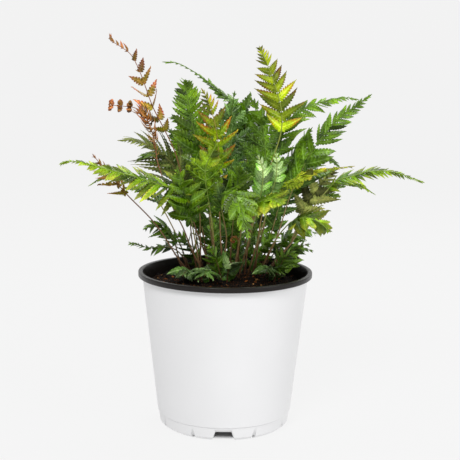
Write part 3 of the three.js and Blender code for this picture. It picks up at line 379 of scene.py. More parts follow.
class FernPotSettings(bpy.types.PropertyGroup):
    sides: bpy.props.IntProperty(
        name="Sides", description="Faces round the pot", default=144, min=32)
    wall_colour: bpy.props.FloatVectorProperty(
        name="Wall", description="White outside of the pot", default=linear("#e4e4e5"), **COLOUR)
    rim_colour: bpy.props.FloatVectorProperty(
        name="Rim", description="Black rim and inside", default=linear("#151211"), **COLOUR)


class FernSoilSettings(bpy.types.PropertyGroup):
    colour: bpy.props.FloatVectorProperty(
        name="Soil", description="Moist peat", default=linear("#1a0f08"), **COLOUR)
    bark_colour: bpy.props.FloatVectorProperty(
        name="Bark", description="Shredded bark", default=linear("#6b4325"), **COLOUR)
    chips: bpy.props.IntProperty(
        name="Chips", description="Pieces of bark on the soil", default=1400, min=0)
    chip_size: bpy.props.FloatProperty(
        name="Chip size", description="Length of a piece of bark", default=0.0042, unit="LENGTH")
    seed: bpy.props.IntProperty(name="Seed", description="Seed of the scatter", default=5)


class FernLeafSettings(bpy.types.PropertyGroup):
    """The leaf colours of each finish, with those of the table as their defaults"""

    __annotations__ = {
        f"{tone}_{part}": bpy.props.FloatVectorProperty(
            name=f"{tone} {part}".capitalize(), description=what, default=linear(code), **COLOUR)
        for tone, codes in TONES.items() for (part, what), code in zip(LEAF_PARTS.items(), codes)}


class FernFrondSettings(bpy.types.PropertyGroup):
    blade_scale: bpy.props.FloatProperty(
        name="Blade scale", description="Size of every pinnule", default=1.0, min=0.5, max=1.5)
    stalk_sides: bpy.props.IntProperty(
        name="Stalk sides", description="Faces round a stalk", default=7, min=3)
    seed: bpy.props.IntProperty(name="Seed", description="Seed of the leaf's play", default=11)


class FernStageSettings(bpy.types.PropertyGroup):
    floor_colour: bpy.props.FloatVectorProperty(
        name="Floor", description="Pale studio floor", default=linear("#f6f6f6"), **COLOUR)
    floor_glow: bpy.props.FloatProperty(
        name="Floor glow", description="How brightly the floor is lit from behind", default=0.935)
    key_power: bpy.props.FloatProperty(
        name="Key light", description="Power of the main softbox", default=24, unit="POWER")
    fill_power: bpy.props.FloatProperty(
        name="Fill light", description="Power of the side softbox", default=11, unit="POWER")
    room_light: bpy.props.FloatProperty(
        name="Room light", description="Strength of the light from all round", default=0.39)
    camera_distance: bpy.props.FloatProperty(
        name="Camera distance", description="From the pot's axis", default=1.054, unit="LENGTH")
    camera_height: bpy.props.FloatProperty(
        name="Camera height", description="Above the floor", default=0.368, unit="LENGTH")


# Stalks: the same smooth curve as the solids have

class Stalk:
    """The curve of a frond, with its own along, face and side directions, in millimetres."""

    DIVISIONS = 200
    STEP = 0.0001

    def __init__(self, plan):
        self.plan = plan
        points = np.array([(*plan["foot"], ROOT_TOP), *plan["route"]], float)
        self.spans = len(points) - 1
        first = 2 * points[0] - points[1]
        last = 2 * points[-1] - points[-2]
        self.points = np.vstack([first, points, last])
        self.grid = np.linspace(0, 1, self.DIVISIONS + 1)
        steps = np.linalg.norm(np.diff(self.curve(self.grid), axis=0), axis=1)
        self.lengths = np.concatenate([[0], np.cumsum(steps)])
        self.length = self.lengths[-1]
        self.blade_start = plan["bare"] * self.length

    def curve(self, t):
        """Points of a centripetal Catmull-Rom curve, for t from 0 to 1."""
        place = np.clip(np.atleast_1d(t), 0, 1) * self.spans
        span = np.minimum(place.astype(int), self.spans - 1)
        w = (place - span)[:, None]
        p0, p1, p2, p3 = (self.points[span + i] for i in range(4))
        d0, d1, d2 = (np.linalg.norm(b - a, axis=1)[:, None] ** 0.5
                      for a, b in ((p0, p1), (p1, p2), (p2, p3)))
        t1 = ((p1 - p0) / d0 - (p2 - p0) / (d0 + d1) + (p2 - p1) / d1) * d1
        t2 = ((p2 - p1) / d1 - (p3 - p1) / (d1 + d2) + (p3 - p2) / d2) * d1
        square = -3 * p1 + 3 * p2 - 2 * t1 - t2
        cube = 2 * p1 - 2 * p2 + t1 + t2
        return p1 + t1 * w + square * w ** 2 + cube * w ** 3

    def at(self, distance):
        """The point at a distance along the stalk, and the along, face and side directions there."""
        t = np.interp(min(max(distance, 0), self.length), self.lengths, self.grid)
        before, point, after = self.curve([t - self.STEP, t, t + self.STEP])
        along = unit(after - before)
        face = np.array(self.plan["face"], float)
        face = unit(face - along * (face @ along))
        return point, along, face, np.cross(along, face)

    def width(self, distance):
        """How thick the solid's stalk is at a distance along it."""
        if distance < self.blade_start:
            return STALK_WIDTH + (RIB_WIDTH - STALK_WIDTH) * distance / self.blade_start
        share = (distance - self.blade_start) / max(self.length - self.blade_start, 1)
        return RIB_WIDTH + (TIP_WIDTH - RIB_WIDTH) * share


def unit(vector):
    """The vector at a length of one."""
    return vector / np.linalg.norm(vector)


def pair_places(plan):
    """Where the pairs of leaflets stand, as shares of the blade, closer together near its tip."""
    pairs = plan["pairs"]
    return [1 - (1 - (i + FIRST_PAIR) / pairs) ** CROWDING for i in range(pairs)]


def leaflet_length(plan, place):
    """How long a leaflet is at a share of the blade, in millimetres."""
    if place < plan["fullest"]:
        return plan["reach"] * (LOWEST_SHARE + (1 - LOWEST_SHARE) * place / plan["fullest"])
    share = (1 - place) / (1 - plan["fullest"])
    return max(plan["reach"] * share ** plan["taper"], SHORTEST)


class Leaflet:
    """The midline of one leaflet: a bent line from the rib, with its across and up directions."""

    def __init__(self, stalk, place, side, spacing, swing, growth):
        plan = stalk.plan
        start = stalk.blade_start + place * (stalk.length - stalk.blade_start)
        point, self.along, face, beside = stalk.at(start)
        self.place = place
        self.side = side
        self.swing = swing
        self.growth = growth
        self.length = leaflet_length(plan, place) * growth
        sweep = math.radians(plan["sweep"] - SWEEP_LOST * place)
        lift = math.radians(swing)
        level = beside * side * math.sin(sweep) + self.along * math.cos(sweep)
        self.outward = level * math.cos(lift) + face * math.sin(lift)
        self.bend = self.along * plan["curl"] - face * plan["droop"]
        self.root = point + beside * side * stalk.width(start) / 2
        self.half = min(0.5 * plan["fill"] * spacing * math.sin(sweep), WIDEST_SHARE * self.length)

    def at(self, share):
        """The point at a share of its length, and the ahead, across and up directions there."""
        point = self.root + self.outward * self.length * share + self.bend * self.length * share ** 2
        ahead = unit(self.outward + self.bend * 2 * share)
        across = unit(self.along - ahead * (self.along @ ahead))
        return point, ahead, across, np.cross(ahead, across) * self.side

    def tip_corners(self):
        """The two corners that the solid's leaflet has at its tip."""
        point, _, _, up = self.at(1)
        return [point + up * way * BLADE_THICKNESS / 2 for way in (1, -1)]


def corner_finder(node):
    """A search tree over a solid's corners, in millimetres."""
    vertices = frame["nodes"][node].data.vertices
    tree = kdtree.KDTree(len(vertices))
    for i, vertex in enumerate(vertices):
        tree.insert(vertex.co / MM, i)
    tree.balance()
    return tree


# How near two corners are that count as one, in millimetres
SAME_CORNER = 0.05


def leaflets_of(stalk):
    """The leaflets that the frond's solid has. Each was swung or kept small where it had no
    room, so the choice is the one whose tip is a corner of the solid."""
    plan = stalk.plan
    corners = corner_finder(plan["name"])
    places = pair_places(plan)
    blade = stalk.length - stalk.blade_start
    found = []
    for i, place in enumerate(places):
        before = (places[i - 1] + place) / 2 if i > 0 else 1.5 * place - 0.5 * places[1]
        after = (places[i + 1] + place) / 2 if i < len(places) - 1 else 1.5 * place - 0.5 * places[i - 1]
        spacing = (after - before) * blade
        for side in (-1, 1):
            choices = (Leaflet(stalk, place, side, spacing, swing, growth)
                       for growth in GROWTHS for swing in SWINGS)
            leaflet = next((c for c in choices
                            if all(corners.find(p)[2] < SAME_CORNER for p in c.tip_corners())), None)
            if leaflet:
                found.append(leaflet)
    return found


def as_mesh(form, name):
    """The plain mesh of a bmesh, which it frees."""
    mesh = bpy.data.meshes.new(name)
    form.to_mesh(mesh)
    form.free()
    return mesh


# Blades: a row of stations from foot to tip for each form, a unit long and about a unit wide.
# A station is a share of the length, half the width there, and how far the edge stands up.

def toothed(count, depth, foot, widest, taper, steps=2):
    """The stations of a blade with forward teeth, or with round lobes where steps is 3."""
    stations = [(0, foot, 0)]
    for i in range(count):
        for k in range(steps):
            x = (i + (0.30, 0.80, 0.97)[k + 3 - steps]) / count
            rise = min(x / widest, 1)
            fall = max((x - widest) / (1 - widest), 0)
            full = (foot + (0.5 - foot) * math.sin(rise * math.pi / 2)) * (1 - fall ** taper)
            is_notch = k == steps - 1
            half = max(full * (1 - depth * is_notch), 0.02)
            stations.append((x * 0.98, half, -0.04 if is_notch else 0.05))
    return stations


BLADE_FORMS = {
    "comb": toothed(11, 0.55, 0.34, 0.12, 1.5),
    "crenate": toothed(7, 0.34, 0.30, 0.25, 3.0, 3),
    "lobed": toothed(6, 0.48, 0.30, 0.22, 1.7, 3),
    "oblong": toothed(3, 0.20, 0.16, 0.35, 2.6, 3),
    "pinnule": [(0, 0.46, 0), (0.30, 0.52, 0), (0.62, 0.44, 0), (0.88, 0.24, 0)],
    "scale": [(0, 0.3, 0), (0.35, 0.5, 0)],
    "serrate": toothed(9, 0.34, 0.34, 0.15, 1.7),
    "small": toothed(5, 0.42, 0.20, 0.25, 1.5),
}
SEGMENTS = {"comb": 11, "crenate": 7, "lobed": 6, "oblong": 5, "pinnule": 3, "scale": 1, "serrate": 9,
            "small": 5}

# How thick a blade is and how far its edges drop, against its depth
THIN = 0.07
EDGE_DROP = 0.20


def blade_mesh(name):
    """A closed thin blade: a ridge along its middle, edges that droop, a crisp rim and its own UVs,
    which count its segments. The attribute 'under' is 1 on its lower side and 'reach' is the share
    of its length."""
    mesh = bmesh.new()
    uv = mesh.loops.layers.uv.new("UVMap")
    under = mesh.verts.layers.float.new("under")
    reach = mesh.verts.layers.float.new("reach")

    def corner(x, y, z, low=0.0):
        """A corner of the blade, with its attributes."""
        vertex = mesh.verts.new((x, y, z))
        vertex[under] = low
        vertex[reach] = x
        return vertex

    rows = []
    for x, half, lift in BLADE_FORMS[name]:
        drop = EDGE_DROP * (2 * half) ** 2 - lift
        rows.append((corner(x, half, -drop), corner(x, 0, 0), corner(x, -half, -drop),
                     corner(x, half, -drop - THIN, 1), corner(x, -half, -drop - THIN, 1)))
    tip = corner(1, 0, -THIN / 2)
    tops = []
    others = []
    for (a, b, c, d, e), (f, g, h, i, j) in zip(rows, rows[1:]):
        tops += [(a, b, g, f), (b, c, h, g)]
        others += [(d, i, j, e), (a, f, i, d), (c, e, j, h)]
    a, b, c, d, e = rows[-1]
    tops += [(a, b, tip), (b, c, tip)]
    others += [(d, tip, e), (a, tip, d), (c, e, tip)]
    a, b, c, d, e = rows[0]
    others.append((a, d, e, c, b))
    skin = {mesh.faces.new(corners) for corners in tops}
    for corners in others:
        mesh.faces.new(corners)
    for face in mesh.faces:
        face.smooth = True
        for loop in face.loops:
            loop[uv].uv = (loop.vert.co.x * SEGMENTS[name], loop.vert.co.y + 0.5)
    for edge in mesh.edges:
        edge.smooth = len({face in skin for face in edge.link_faces}) == 1
    bmesh.ops.recalc_face_normals(mesh, faces=mesh.faces)
    return as_mesh(mesh, name)


def blade_collection():
    """The blade forms as objects, in the order of their names, which is that of their numbers."""
    collection = bpy.data.collections.new("blades")
    for name in sorted(BLADE_FORMS):
        collection.objects.link(bpy.data.objects.new(name, blade_mesh(name)))
    return collection


def frond_tree():
    """Grows a frond on its plan: tubes along the plan's lines, and blades on its loose points, bent
    the more the further out."""
    tree, given = geometry_group("Frond growth", "Frond", {
        "Plan": "Geometry", "Blades": "Collection", "Blade scale": "Float", "Stalk sides": "Int",
        "Leaf": "Material", "Stalk": "Material"})
    kinds = {name: Plan.FIELDS.get(name, "FLOAT") for name in (*Plan.HELPERS, "reach")}
    read = {name: add(tree, "GeometryNodeInputNamedAttribute", {"Name": name}, data_type=kind)
            for name, kind in kinds.items()}
    is_blade, is_leafy = (add(tree, "FunctionNodeCompare", {"A": read[name], "B": 0.5}, data_type="FLOAT",
                              operation="GREATER_THAN") for name in ("blade", "leafy"))
    is_line = add(tree, "FunctionNodeBooleanMath", {0: is_blade}, operation="NOT")
    forms = add(tree, "GeometryNodeCollectionInfo",
                {"Collection": given["Blades"], "Separate Children": True, "Reset Children": True})
    size = add(tree, "ShaderNodeVectorMath", {0: read["size"], "Scale": given["Blade scale"]},
               operation="SCALE")
    blades = add(tree, "GeometryNodeInstanceOnPoints", {
        "Points": given["Plan"], "Selection": is_blade, "Instance": forms, "Pick Instance": True,
        "Instance Index": read["form"], "Rotation": read["turn"], "Scale": size})
    lines = add(tree, "GeometryNodeMeshToCurve", {"Mesh": given["Plan"], "Selection": is_line})
    ring = add(tree, "GeometryNodeCurvePrimitiveCircle", {"Resolution": given["Stalk sides"], "Radius": 1.0})
    tubes = add(tree, "GeometryNodeCurveToMesh",
                {"Curve": lines, "Profile Curve": ring, "Scale": read["radius"], "Fill Caps": True})
    both = add(tree, "GeometryNodeJoinGeometry", {0: blades})
    tree.links.new(tubes.outputs[0], both.inputs[0])
    real = add(tree, "GeometryNodeRealizeInstances", {"Geometry": both})
    square = add(tree, "ShaderNodeMath", {0: read["reach"], 1: 2.0}, operation="POWER")
    moved = add(tree, "ShaderNodeVectorMath", {0: read["bend"], "Scale": square}, operation="SCALE")
    bent = add(tree, "GeometryNodeSetPosition", {"Geometry": real, "Offset": moved})
    with_stalk = add(tree, "GeometryNodeSetMaterial", {"Geometry": bent, "Material": given["Stalk"]})
    with_leaf = add(tree, "GeometryNodeSetMaterial",
                    {"Geometry": with_stalk, "Selection": is_leafy, "Material": given["Leaf"]})
    add(tree, "NodeGroupOutput", {"Frond": with_leaf})
    return tree


def geometry_group(name, made, inputs):
    """A Geometry Nodes group with named inputs and one named output, and its inputs' sockets."""
    tree = bpy.data.node_groups.new(name, "GeometryNodeTree")
    for socket, kind in inputs.items():
        tree.interface.new_socket(socket, in_out="INPUT", socket_type=f"NodeSocket{kind}")
    tree.interface.new_socket(made, in_out="OUTPUT", socket_type="NodeSocketGeometry")
    return tree, add(tree, "NodeGroupInput").outputs


def set_inputs(modifier, values):
    """Sets a Geometry Nodes modifier's inputs by the sockets' identifiers."""
    for item in modifier.node_group.interface.items_tree:
        if item.item_type == "SOCKET" and item.name in values:
            modifier[item.identifier] = values[item.name]


def made_real(piece):
    """Turns a piece with its modifiers into a plain mesh, in place."""
    bpy.context.view_layer.update()
    shown = piece.evaluated_get(bpy.context.evaluated_depsgraph_get())
    mesh = bpy.data.meshes.new_from_object(shown)
    piece.modifiers.clear()
    old, piece.data = piece.data, mesh
    bpy.data.meshes.remove(old)
    mesh.name = piece.name
    return piece


def remove_collection(collection):
    """Removes a collection of helper objects, and the objects."""
    for member in list(collection.objects):
        bpy.data.objects.remove(member)
    bpy.data.collections.remove(collection)


def keep(piece, slot, *nodes):
    """Puts a finished piece in the frame, in place of the solids that it stands for."""
    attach(piece, "root")
    if nodes:
        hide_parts(*nodes)


class Plan:
    """Collects a frond's lines and blades, in metres, for the growth tree."""

    # A point's values and their kinds, what they are unless given, and those that only the growth
    # tree reads
    FIELDS = {"radius": "FLOAT", "blade": "FLOAT", "form": "INT", "size": "FLOAT_VECTOR",
              "turn": "QUATERNION", "bend": "FLOAT_VECTOR", "leafy": "FLOAT", "age": "FLOAT",
              "blush": "FLOAT", "shade": "FLOAT", "rib": "FLOAT"}
    REST = {"radius": 0, "blade": 0, "form": 0, "size": (0, 0, 0), "turn": (1, 0, 0, 0), "bend": (0, 0, 0),
            "leafy": 0, "age": 0, "blush": 0, "shade": 0, "rib": 0}
    HELPERS = ("radius", "blade", "form", "size", "turn", "bend", "leafy")

    def __init__(self):
        self.points = []
        self.edges = []
        self.values = {name: [] for name in self.FIELDS}

    def point(self, point, **values):
        """Adds a point, given in millimetres, and its values."""
        self.points.append(tuple(np.asarray(point) * MM))
        for name, rest in self.REST.items():
            self.values[name].append(values.get(name, rest))

    def line(self, points, radii, ages, **values):
        """Adds a stalk or rib."""
        for i, (point, radius, age) in enumerate(zip(points, radii, ages)):
            if i:
                self.edges.append((len(self.points) - 1, len(self.points)))
            self.point(point, radius=radius * MM, age=age, **values)

    def blade(self, form, point, ahead, up, size, bend=(0, 0, 0), leafy=1, **values):
        """Adds a blade of a form: where it starts, the ways it and its upper side look, its length,
        width and depth, and how far its tip bends."""
        ahead = unit(ahead)
        beside = unit(np.cross(up, ahead))
        axes = Matrix((ahead, beside, np.cross(ahead, beside))).transposed()
        self.point(point, blade=1, form=sorted(BLADE_FORMS).index(form), size=tuple(np.array(size) * MM),
                   turn=tuple(axes.to_quaternion()), bend=tuple(np.array(bend) * MM), leafy=leafy, **values)

    def mesh(self, name):
        """The plan as a mesh of lines and loose points, with its values as attributes."""
        mesh = bpy.data.meshes.new(name)
        mesh.from_pydata(self.points, self.edges, [])
        for field, kind in self.FIELDS.items():
            values = np.array(self.values[field], np.int32 if kind == "INT" else np.float32)
            attribute = mesh.attributes.new(field, kind, "POINT")
            attribute.data.foreach_set("vector" if kind == "FLOAT_VECTOR" else "value", values.ravel())
        return mesh


# A leaflet, in millimetres: how deep it starts in the rib, from what length its blade has the form
# of its tone, the least lobe at its foot, and its own rib, which starts and ends at shares of its
# length. CUT is the share of it that bears pinnules, from CUT_START, and END_BLADE where the blade
# at its tip starts, END_SHARE long. A pinnule leans towards the tip by LEAN degrees, and by
# LEAN_MORE more near the tip. RATIOS are a blade's length, width and depth against its length.
ROOTED = 0.7
LONG_ENOUGH = 7
LEAST_EAR = 1
EAR_RATIOS = np.array((1, 0.7, 0.4))
RIB_STEPS = 7
RIB_START = -0.03
RIB_END = 0.95
RIB_RADIUS = 0.35
RIB_TIP_RADIUS = 0.12
CUT = 0.94
CUT_START = 0.02
END_BLADE = 0.86
END_SHARE = 0.15
END_RATIOS = np.array((1, 0.6, 0.4))
LEAN = 34
LEAN_MORE = 18


def grow_leaflet(plan, leaflet, look, rng):
    """Adds one leaflet: a single bent blade, or its own rib and its pinnules."""
    common = dict(age=leaflet.place, shade=look["light"] + rng.normal(0, 1))
    blush = look["blush"] * rng.uniform(0.5, 1.3)
    point, _, across, up = leaflet.at(0)
    roll = rng.normal(0, look["twist"])
    tilted = up * math.cos(roll) + across * math.sin(roll)
    play = up * rng.normal(-look["cup"] * 0.4, 0.12) + across * rng.normal(0.03, 0.09)
    bend = (leaflet.bend + play) * leaflet.length
    ear = look["ears"] * 2 * leaflet.half * look["full"]
    for way in (-1, 1):
        if ear > LEAST_EAR:
            plan.blade("pinnule", point - leaflet.outward * ROOTED,
                       leaflet.outward * 0.6 + leaflet.along * way, tilted, EAR_RATIOS * ear, **common)
    if leaflet.length < look["whole"]:
        wide = 2 * leaflet.half * look["full"]
        form = look["leaf"] if leaflet.length > LONG_ENOUGH else "small"
        plan.blade(form, point - leaflet.outward * ROOTED, leaflet.outward, tilted,
                   (leaflet.length + ROOTED, wide, wide), bend, blush=blush, **common)
        return

    def middle(share):
        """The rib at a share of the leaflet's length, and the ahead, across and up directions."""
        point, ahead, across, up = leaflet.at(share)
        turned = across * math.cos(roll) - up * math.sin(roll) * leaflet.side
        moved = point + play * leaflet.length * share ** 2
        return moved, ahead, turned, np.cross(ahead, turned) * leaflet.side

    shares = np.linspace(RIB_START, RIB_END, RIB_STEPS)
    plan.line([middle(share)[0] for share in shares],
              [RIB_RADIUS + (RIB_TIP_RADIUS - RIB_RADIUS) * share for share in shares],
              [leaflet.place] * RIB_STEPS, rib=1, shade=common["shade"])
    count = max(3, round(leaflet.length * CUT / look["cut"]))
    step = CUT / count
    for i in range(count):
        for way in (-1, 1):
            share = CUT_START + (i + 0.5 + 0.25 * way) * step
            point, ahead, across, up = middle(share)
            half = leaflet.half * (1 - share ** 2.4) ** 0.9 * look["full"]
            lean = math.radians(LEAN + LEAN_MORE * share + rng.normal(0, 5))
            level = across * way * math.cos(lean) + ahead * math.sin(lean)
            direction = level - up * rng.normal(look["cup"] * 0.5, 0.14)
            spun = up + np.cross(direction, up) * rng.normal(0, 0.22)
            wide = step * leaflet.length
            long = half / math.cos(lean) * (1 + rng.normal(0, 0.07))
            plan.blade("pinnule", point - direction * 0.2, direction, spun, (long, wide, wide),
                       -up * long * rng.normal(0.12, 0.08), blush=blush * (0.2 + 0.8 * share * share),
                       age=leaflet.place, shade=common["shade"] + rng.normal(0, 0.5))
    point, ahead, across, up = middle(END_BLADE)
    plan.blade("small", point, ahead, up, END_RATIOS * (leaflet.length * END_SHARE), blush=blush,
               **common)


# How unevenly the leaflets between the solid's swing, in degrees, and grow. For the pairs below the
# blade: where the first hangs and how far apart they are, against the pitch, how long they are, how
# much shorter each is than the one above it, and how unevenly they swing.
UNEVEN_SWING = 6
UNEVEN_GROWTH = (0.86, 1.04)
SKIRT_START = 0.7
SKIRT_PITCH = 1.3
SKIRT_GROWN = 0.9
SKIRT_LESS = 0.12
SKIRT_SWING = 15


def crowded(stalk, leaflets, look, rng):
    """The solid's leaflets and others between them, as close as the look says, and closer still
    towards the tip."""
    plan = stalk.plan
    blade = stalk.length - stalk.blade_start
    grown = []
    for side in (-1, 1):
        row = [leaflet for leaflet in leaflets if leaflet.side == side]
        places = [leaflet.place for leaflet in row] + [1.0]
        for leaflet, after in zip(row, places[1:]):
            gap = (after - leaflet.place) * blade
            fullness = min(leaflet.length / plan["reach"], 1)
            pitch = look["pitch"] * (1 - look["tight"] * (1 - fullness))
            count = max(1, round(gap / pitch))
            for k in range(count):
                place = leaflet.place + (after - leaflet.place) * k / count
                swing = leaflet.swing + (rng.normal(0, UNEVEN_SWING) if k else 0)
                uneven = rng.uniform(*UNEVEN_GROWTH)
                growth = leaflet.growth * uneven * (look["grown"] + look["crown"] * place)
                if side < 0 and place > 0.5:
                    growth *= 1 - look["lean_over"]
                grown.append(Leaflet(stalk, place, side, gap / count, swing, growth))
        for k in range(look["skirt"]):
            place = row[0].place - (k + SKIRT_START) * SKIRT_PITCH * look["pitch"] / blade if row else 0
            growth = look["grown"] * (SKIRT_GROWN - SKIRT_LESS * k)
            grown.append(Leaflet(stalk, place, side, look["pitch"], rng.normal(0, SKIRT_SWING), growth))
    return grown


# The stalk: the millimetres between its rings, how many times closer they are on a coiled one, the
# share of its length where it ends, and its thickness against the solid's. The blade on its tip is
# TIP_SHARE of the frond's blade and TIP_MORE millimetres long.
STALK_SPACING = 5
COIL_CLOSER = 3
STALK_END = 0.995
STALK_SHARE = 0.8
TIP_SHARE = 0.05
TIP_MORE = 3
TIP_RATIOS = np.array((1, 0.4, 0.4))


def grow_frond(plan_of, rng):
    """The growth plan of one frond: its stalk with its scales, its leaflets and its tip."""
    look = {**LOOKS[plan_of["tone"]], **OWN_LOOKS.get(plan_of["name"], {})}
    stalk = Stalk(plan_of)
    plan = Plan()
    steps = max(8, round(stalk.length / STALK_SPACING))
    coiled = not plan_of["pairs"]
    if coiled:
        steps *= COIL_CLOSER
    distances = np.linspace(0, stalk.length * STALK_END, steps)
    x, y = plan_of["foot"]
    line = [np.array((x, y, ROOT_FOOT), float)] + [stalk.at(d)[0] for d in distances]
    radii = [STALK_WIDTH / 2] + [STALK_SHARE * stalk.width(d) / 2 for d in distances]
    blade = max(stalk.length - stalk.blade_start, 1)
    plan.line(line, radii, [0] + list(distances / stalk.length), shade=rng.normal(0, 1))
    grow_scales(plan, stalk, rng)
    if coiled:
        grow_coil(plan, stalk, rng)
        return plan
    if look["bundled"]:
        grow_bundles(plan, stalk, look, rng)
        return plan
    for leaflet in crowded(stalk, leaflets_of(stalk), look, rng):
        grow_leaflet(plan, leaflet, look, rng)
    left = blade * TIP_SHARE + TIP_MORE
    point, _, face, _ = stalk.at(stalk.length - left)
    tip = stalk.at(stalk.length)[0]
    plan.blade("small", point, tip - point, face, TIP_RATIOS * left, blush=look["blush"], age=1)
    return plan


# Folded leaflets of the low bronze frond: how many hang in its basket, how far up the blade that
# reaches, the places of the knots beyond it, the curled blades in a knot, how far those reach to
# each side of it, and the lengths of both kinds, in millimetres, with their ratios
BASKET = 64
BASKET_END = 0.66
BASKET_LENGTHS = (11, 17)
BASKET_RATIOS = np.array((1, 0.3, 0.3))
KNOTS = (0.79, 0.89, 0.99)
KNOT_BLADES = 22
KNOT_REACH = 3
KNOT_LENGTHS = (4.5, 7)
KNOT_RATIOS = np.array((1, 0.75, 0.75))


def grow_bundles(plan, stalk, look, rng):
    """Leaflets that are still folded up: narrow ones that curl upwards round the lower part of the
    blade like a basket, and knots of short ones towards the tip."""
    blade = stalk.length - stalk.blade_start
    for i in range(BASKET):
        share = BASKET_END * (i / BASKET) ** 0.45
        point, along, face, beside = stalk.at(stalk.blade_start + blade * share)
        turn = rng.uniform(0, 2 * math.pi)
        outward = face * math.cos(turn) * 0.6 + beside * math.sin(turn)
        long = rng.uniform(*BASKET_LENGTHS) * (0.5 + 0.5 * share / BASKET_END)
        plan.blade("comb", point, outward, along, BASKET_RATIOS * long,
                   (along * 0.8 - outward * 0.55) * long, blush=look["blush"], age=0.7,
                   shade=rng.normal(0.5, 1.3))
    for share in KNOTS:
        middle, along, face, beside = stalk.at(stalk.blade_start + blade * share)
        for i in range(KNOT_BLADES):
            height = rng.uniform(-1, 1)
            outward = along * rng.normal(0, 0.6) + face * rng.normal(0, 0.6) + beside * height
            long = rng.uniform(*KNOT_LENGTHS)
            plan.blade("small", middle + beside * height * KNOT_REACH, outward,
                       face + beside * rng.normal(0, 0.6), KNOT_RATIOS * long,
                       -unit(outward) * 0.4 * long, blush=look["blush"], age=1, shade=rng.normal(0.5, 1))


# Scales of a stalk: how many, how far up they reach and how long one is, in millimetres
SCALES = 26
SCALY_LENGTH = 45
SCALE_LENGTH = 2.6
SCALE_RATIOS = np.array((1, 0.3, 0.2))


def grow_scales(plan, stalk, rng):
    """Papery brown scales round the foot of a stalk, closest together at the soil."""
    for _ in range(SCALES):
        distance = SCALY_LENGTH * rng.random() ** 1.8
        point, along, face, side = stalk.at(distance)
        turn = rng.uniform(0, 2 * math.pi)
        outward = face * math.cos(turn) + side * math.sin(turn)
        long = SCALE_LENGTH * rng.uniform(0.6, 1.3)
        plan.blade("scale", point + outward * stalk.width(distance) * 0.42,
                   along + outward * rng.uniform(0.15, 0.7), outward, SCALE_RATIOS * long,
                   leafy=0, shade=rng.normal(0, 1))


# The coiled frond: blades on each of its sides, the share of the stalk where they start and the
# share that they cover, and the longest, in millimetres
COIL_BLADES = 70
COIL_START = 0.45
COIL_COVERED = 0.54
COIL_LENGTH = 4.2
COIL_RATIOS = np.array((1, 0.6, 0.6))


def grow_coil(plan, stalk, rng):
    """Folded young leaflets along the sides of a coiled frond and into its coil."""
    heart = np.mean(np.array(stalk.plan["route"][-4:], float), axis=0)
    for i in range(COIL_BLADES):
        share = i / COIL_BLADES
        point, along, face, side = stalk.at(stalk.length * (COIL_START + COIL_COVERED * share))
        inward = unit(heart - point)
        for way in (-1, 1):
            outward = inward * rng.uniform(0.2, 1) + face * rng.uniform(-0.2, 0.8) + along * 0.5
            long = COIL_LENGTH * (1 - 0.4 * share) * rng.uniform(0.8, 1.2)
            plan.blade("small", point, outward, face + side * way, COIL_RATIOS * long, blush=0.9,
                       age=share, shade=rng.normal(0, 1.3))


# Finishes

# Strength of the waxy gloss and of the drawn veins, where a finish has its own
USUAL_GLOSS = 0.25
USUAL_VEINS = 0.45
GLOSS = {"pale": 0.7, "olive": 0.2, "bronze": 0.2, "ground": 0.5, "dark": 0.4}
VEINED = {"pale": 0.7, "ground": 0.6}

# Finishes of the fronds that are not as their slot says
OWN_FINISHES = {
    "frond_arch_right": "dark",
    "frond_bright_upright": "dark",
    "frond_centre_high": "ground",
    "frond_far_right": "bright",
    "frond_front_left": "dark",
    "frond_hang_front": "dark",
    "frond_low_right": "bright",
    "frond_soil_front": "ground",
    "frond_soil_left": "ground",
    "frond_soil_mid_right": "ground",
    "frond_yellow_front": "bright",
    "frond_young_left": "bronze",
}


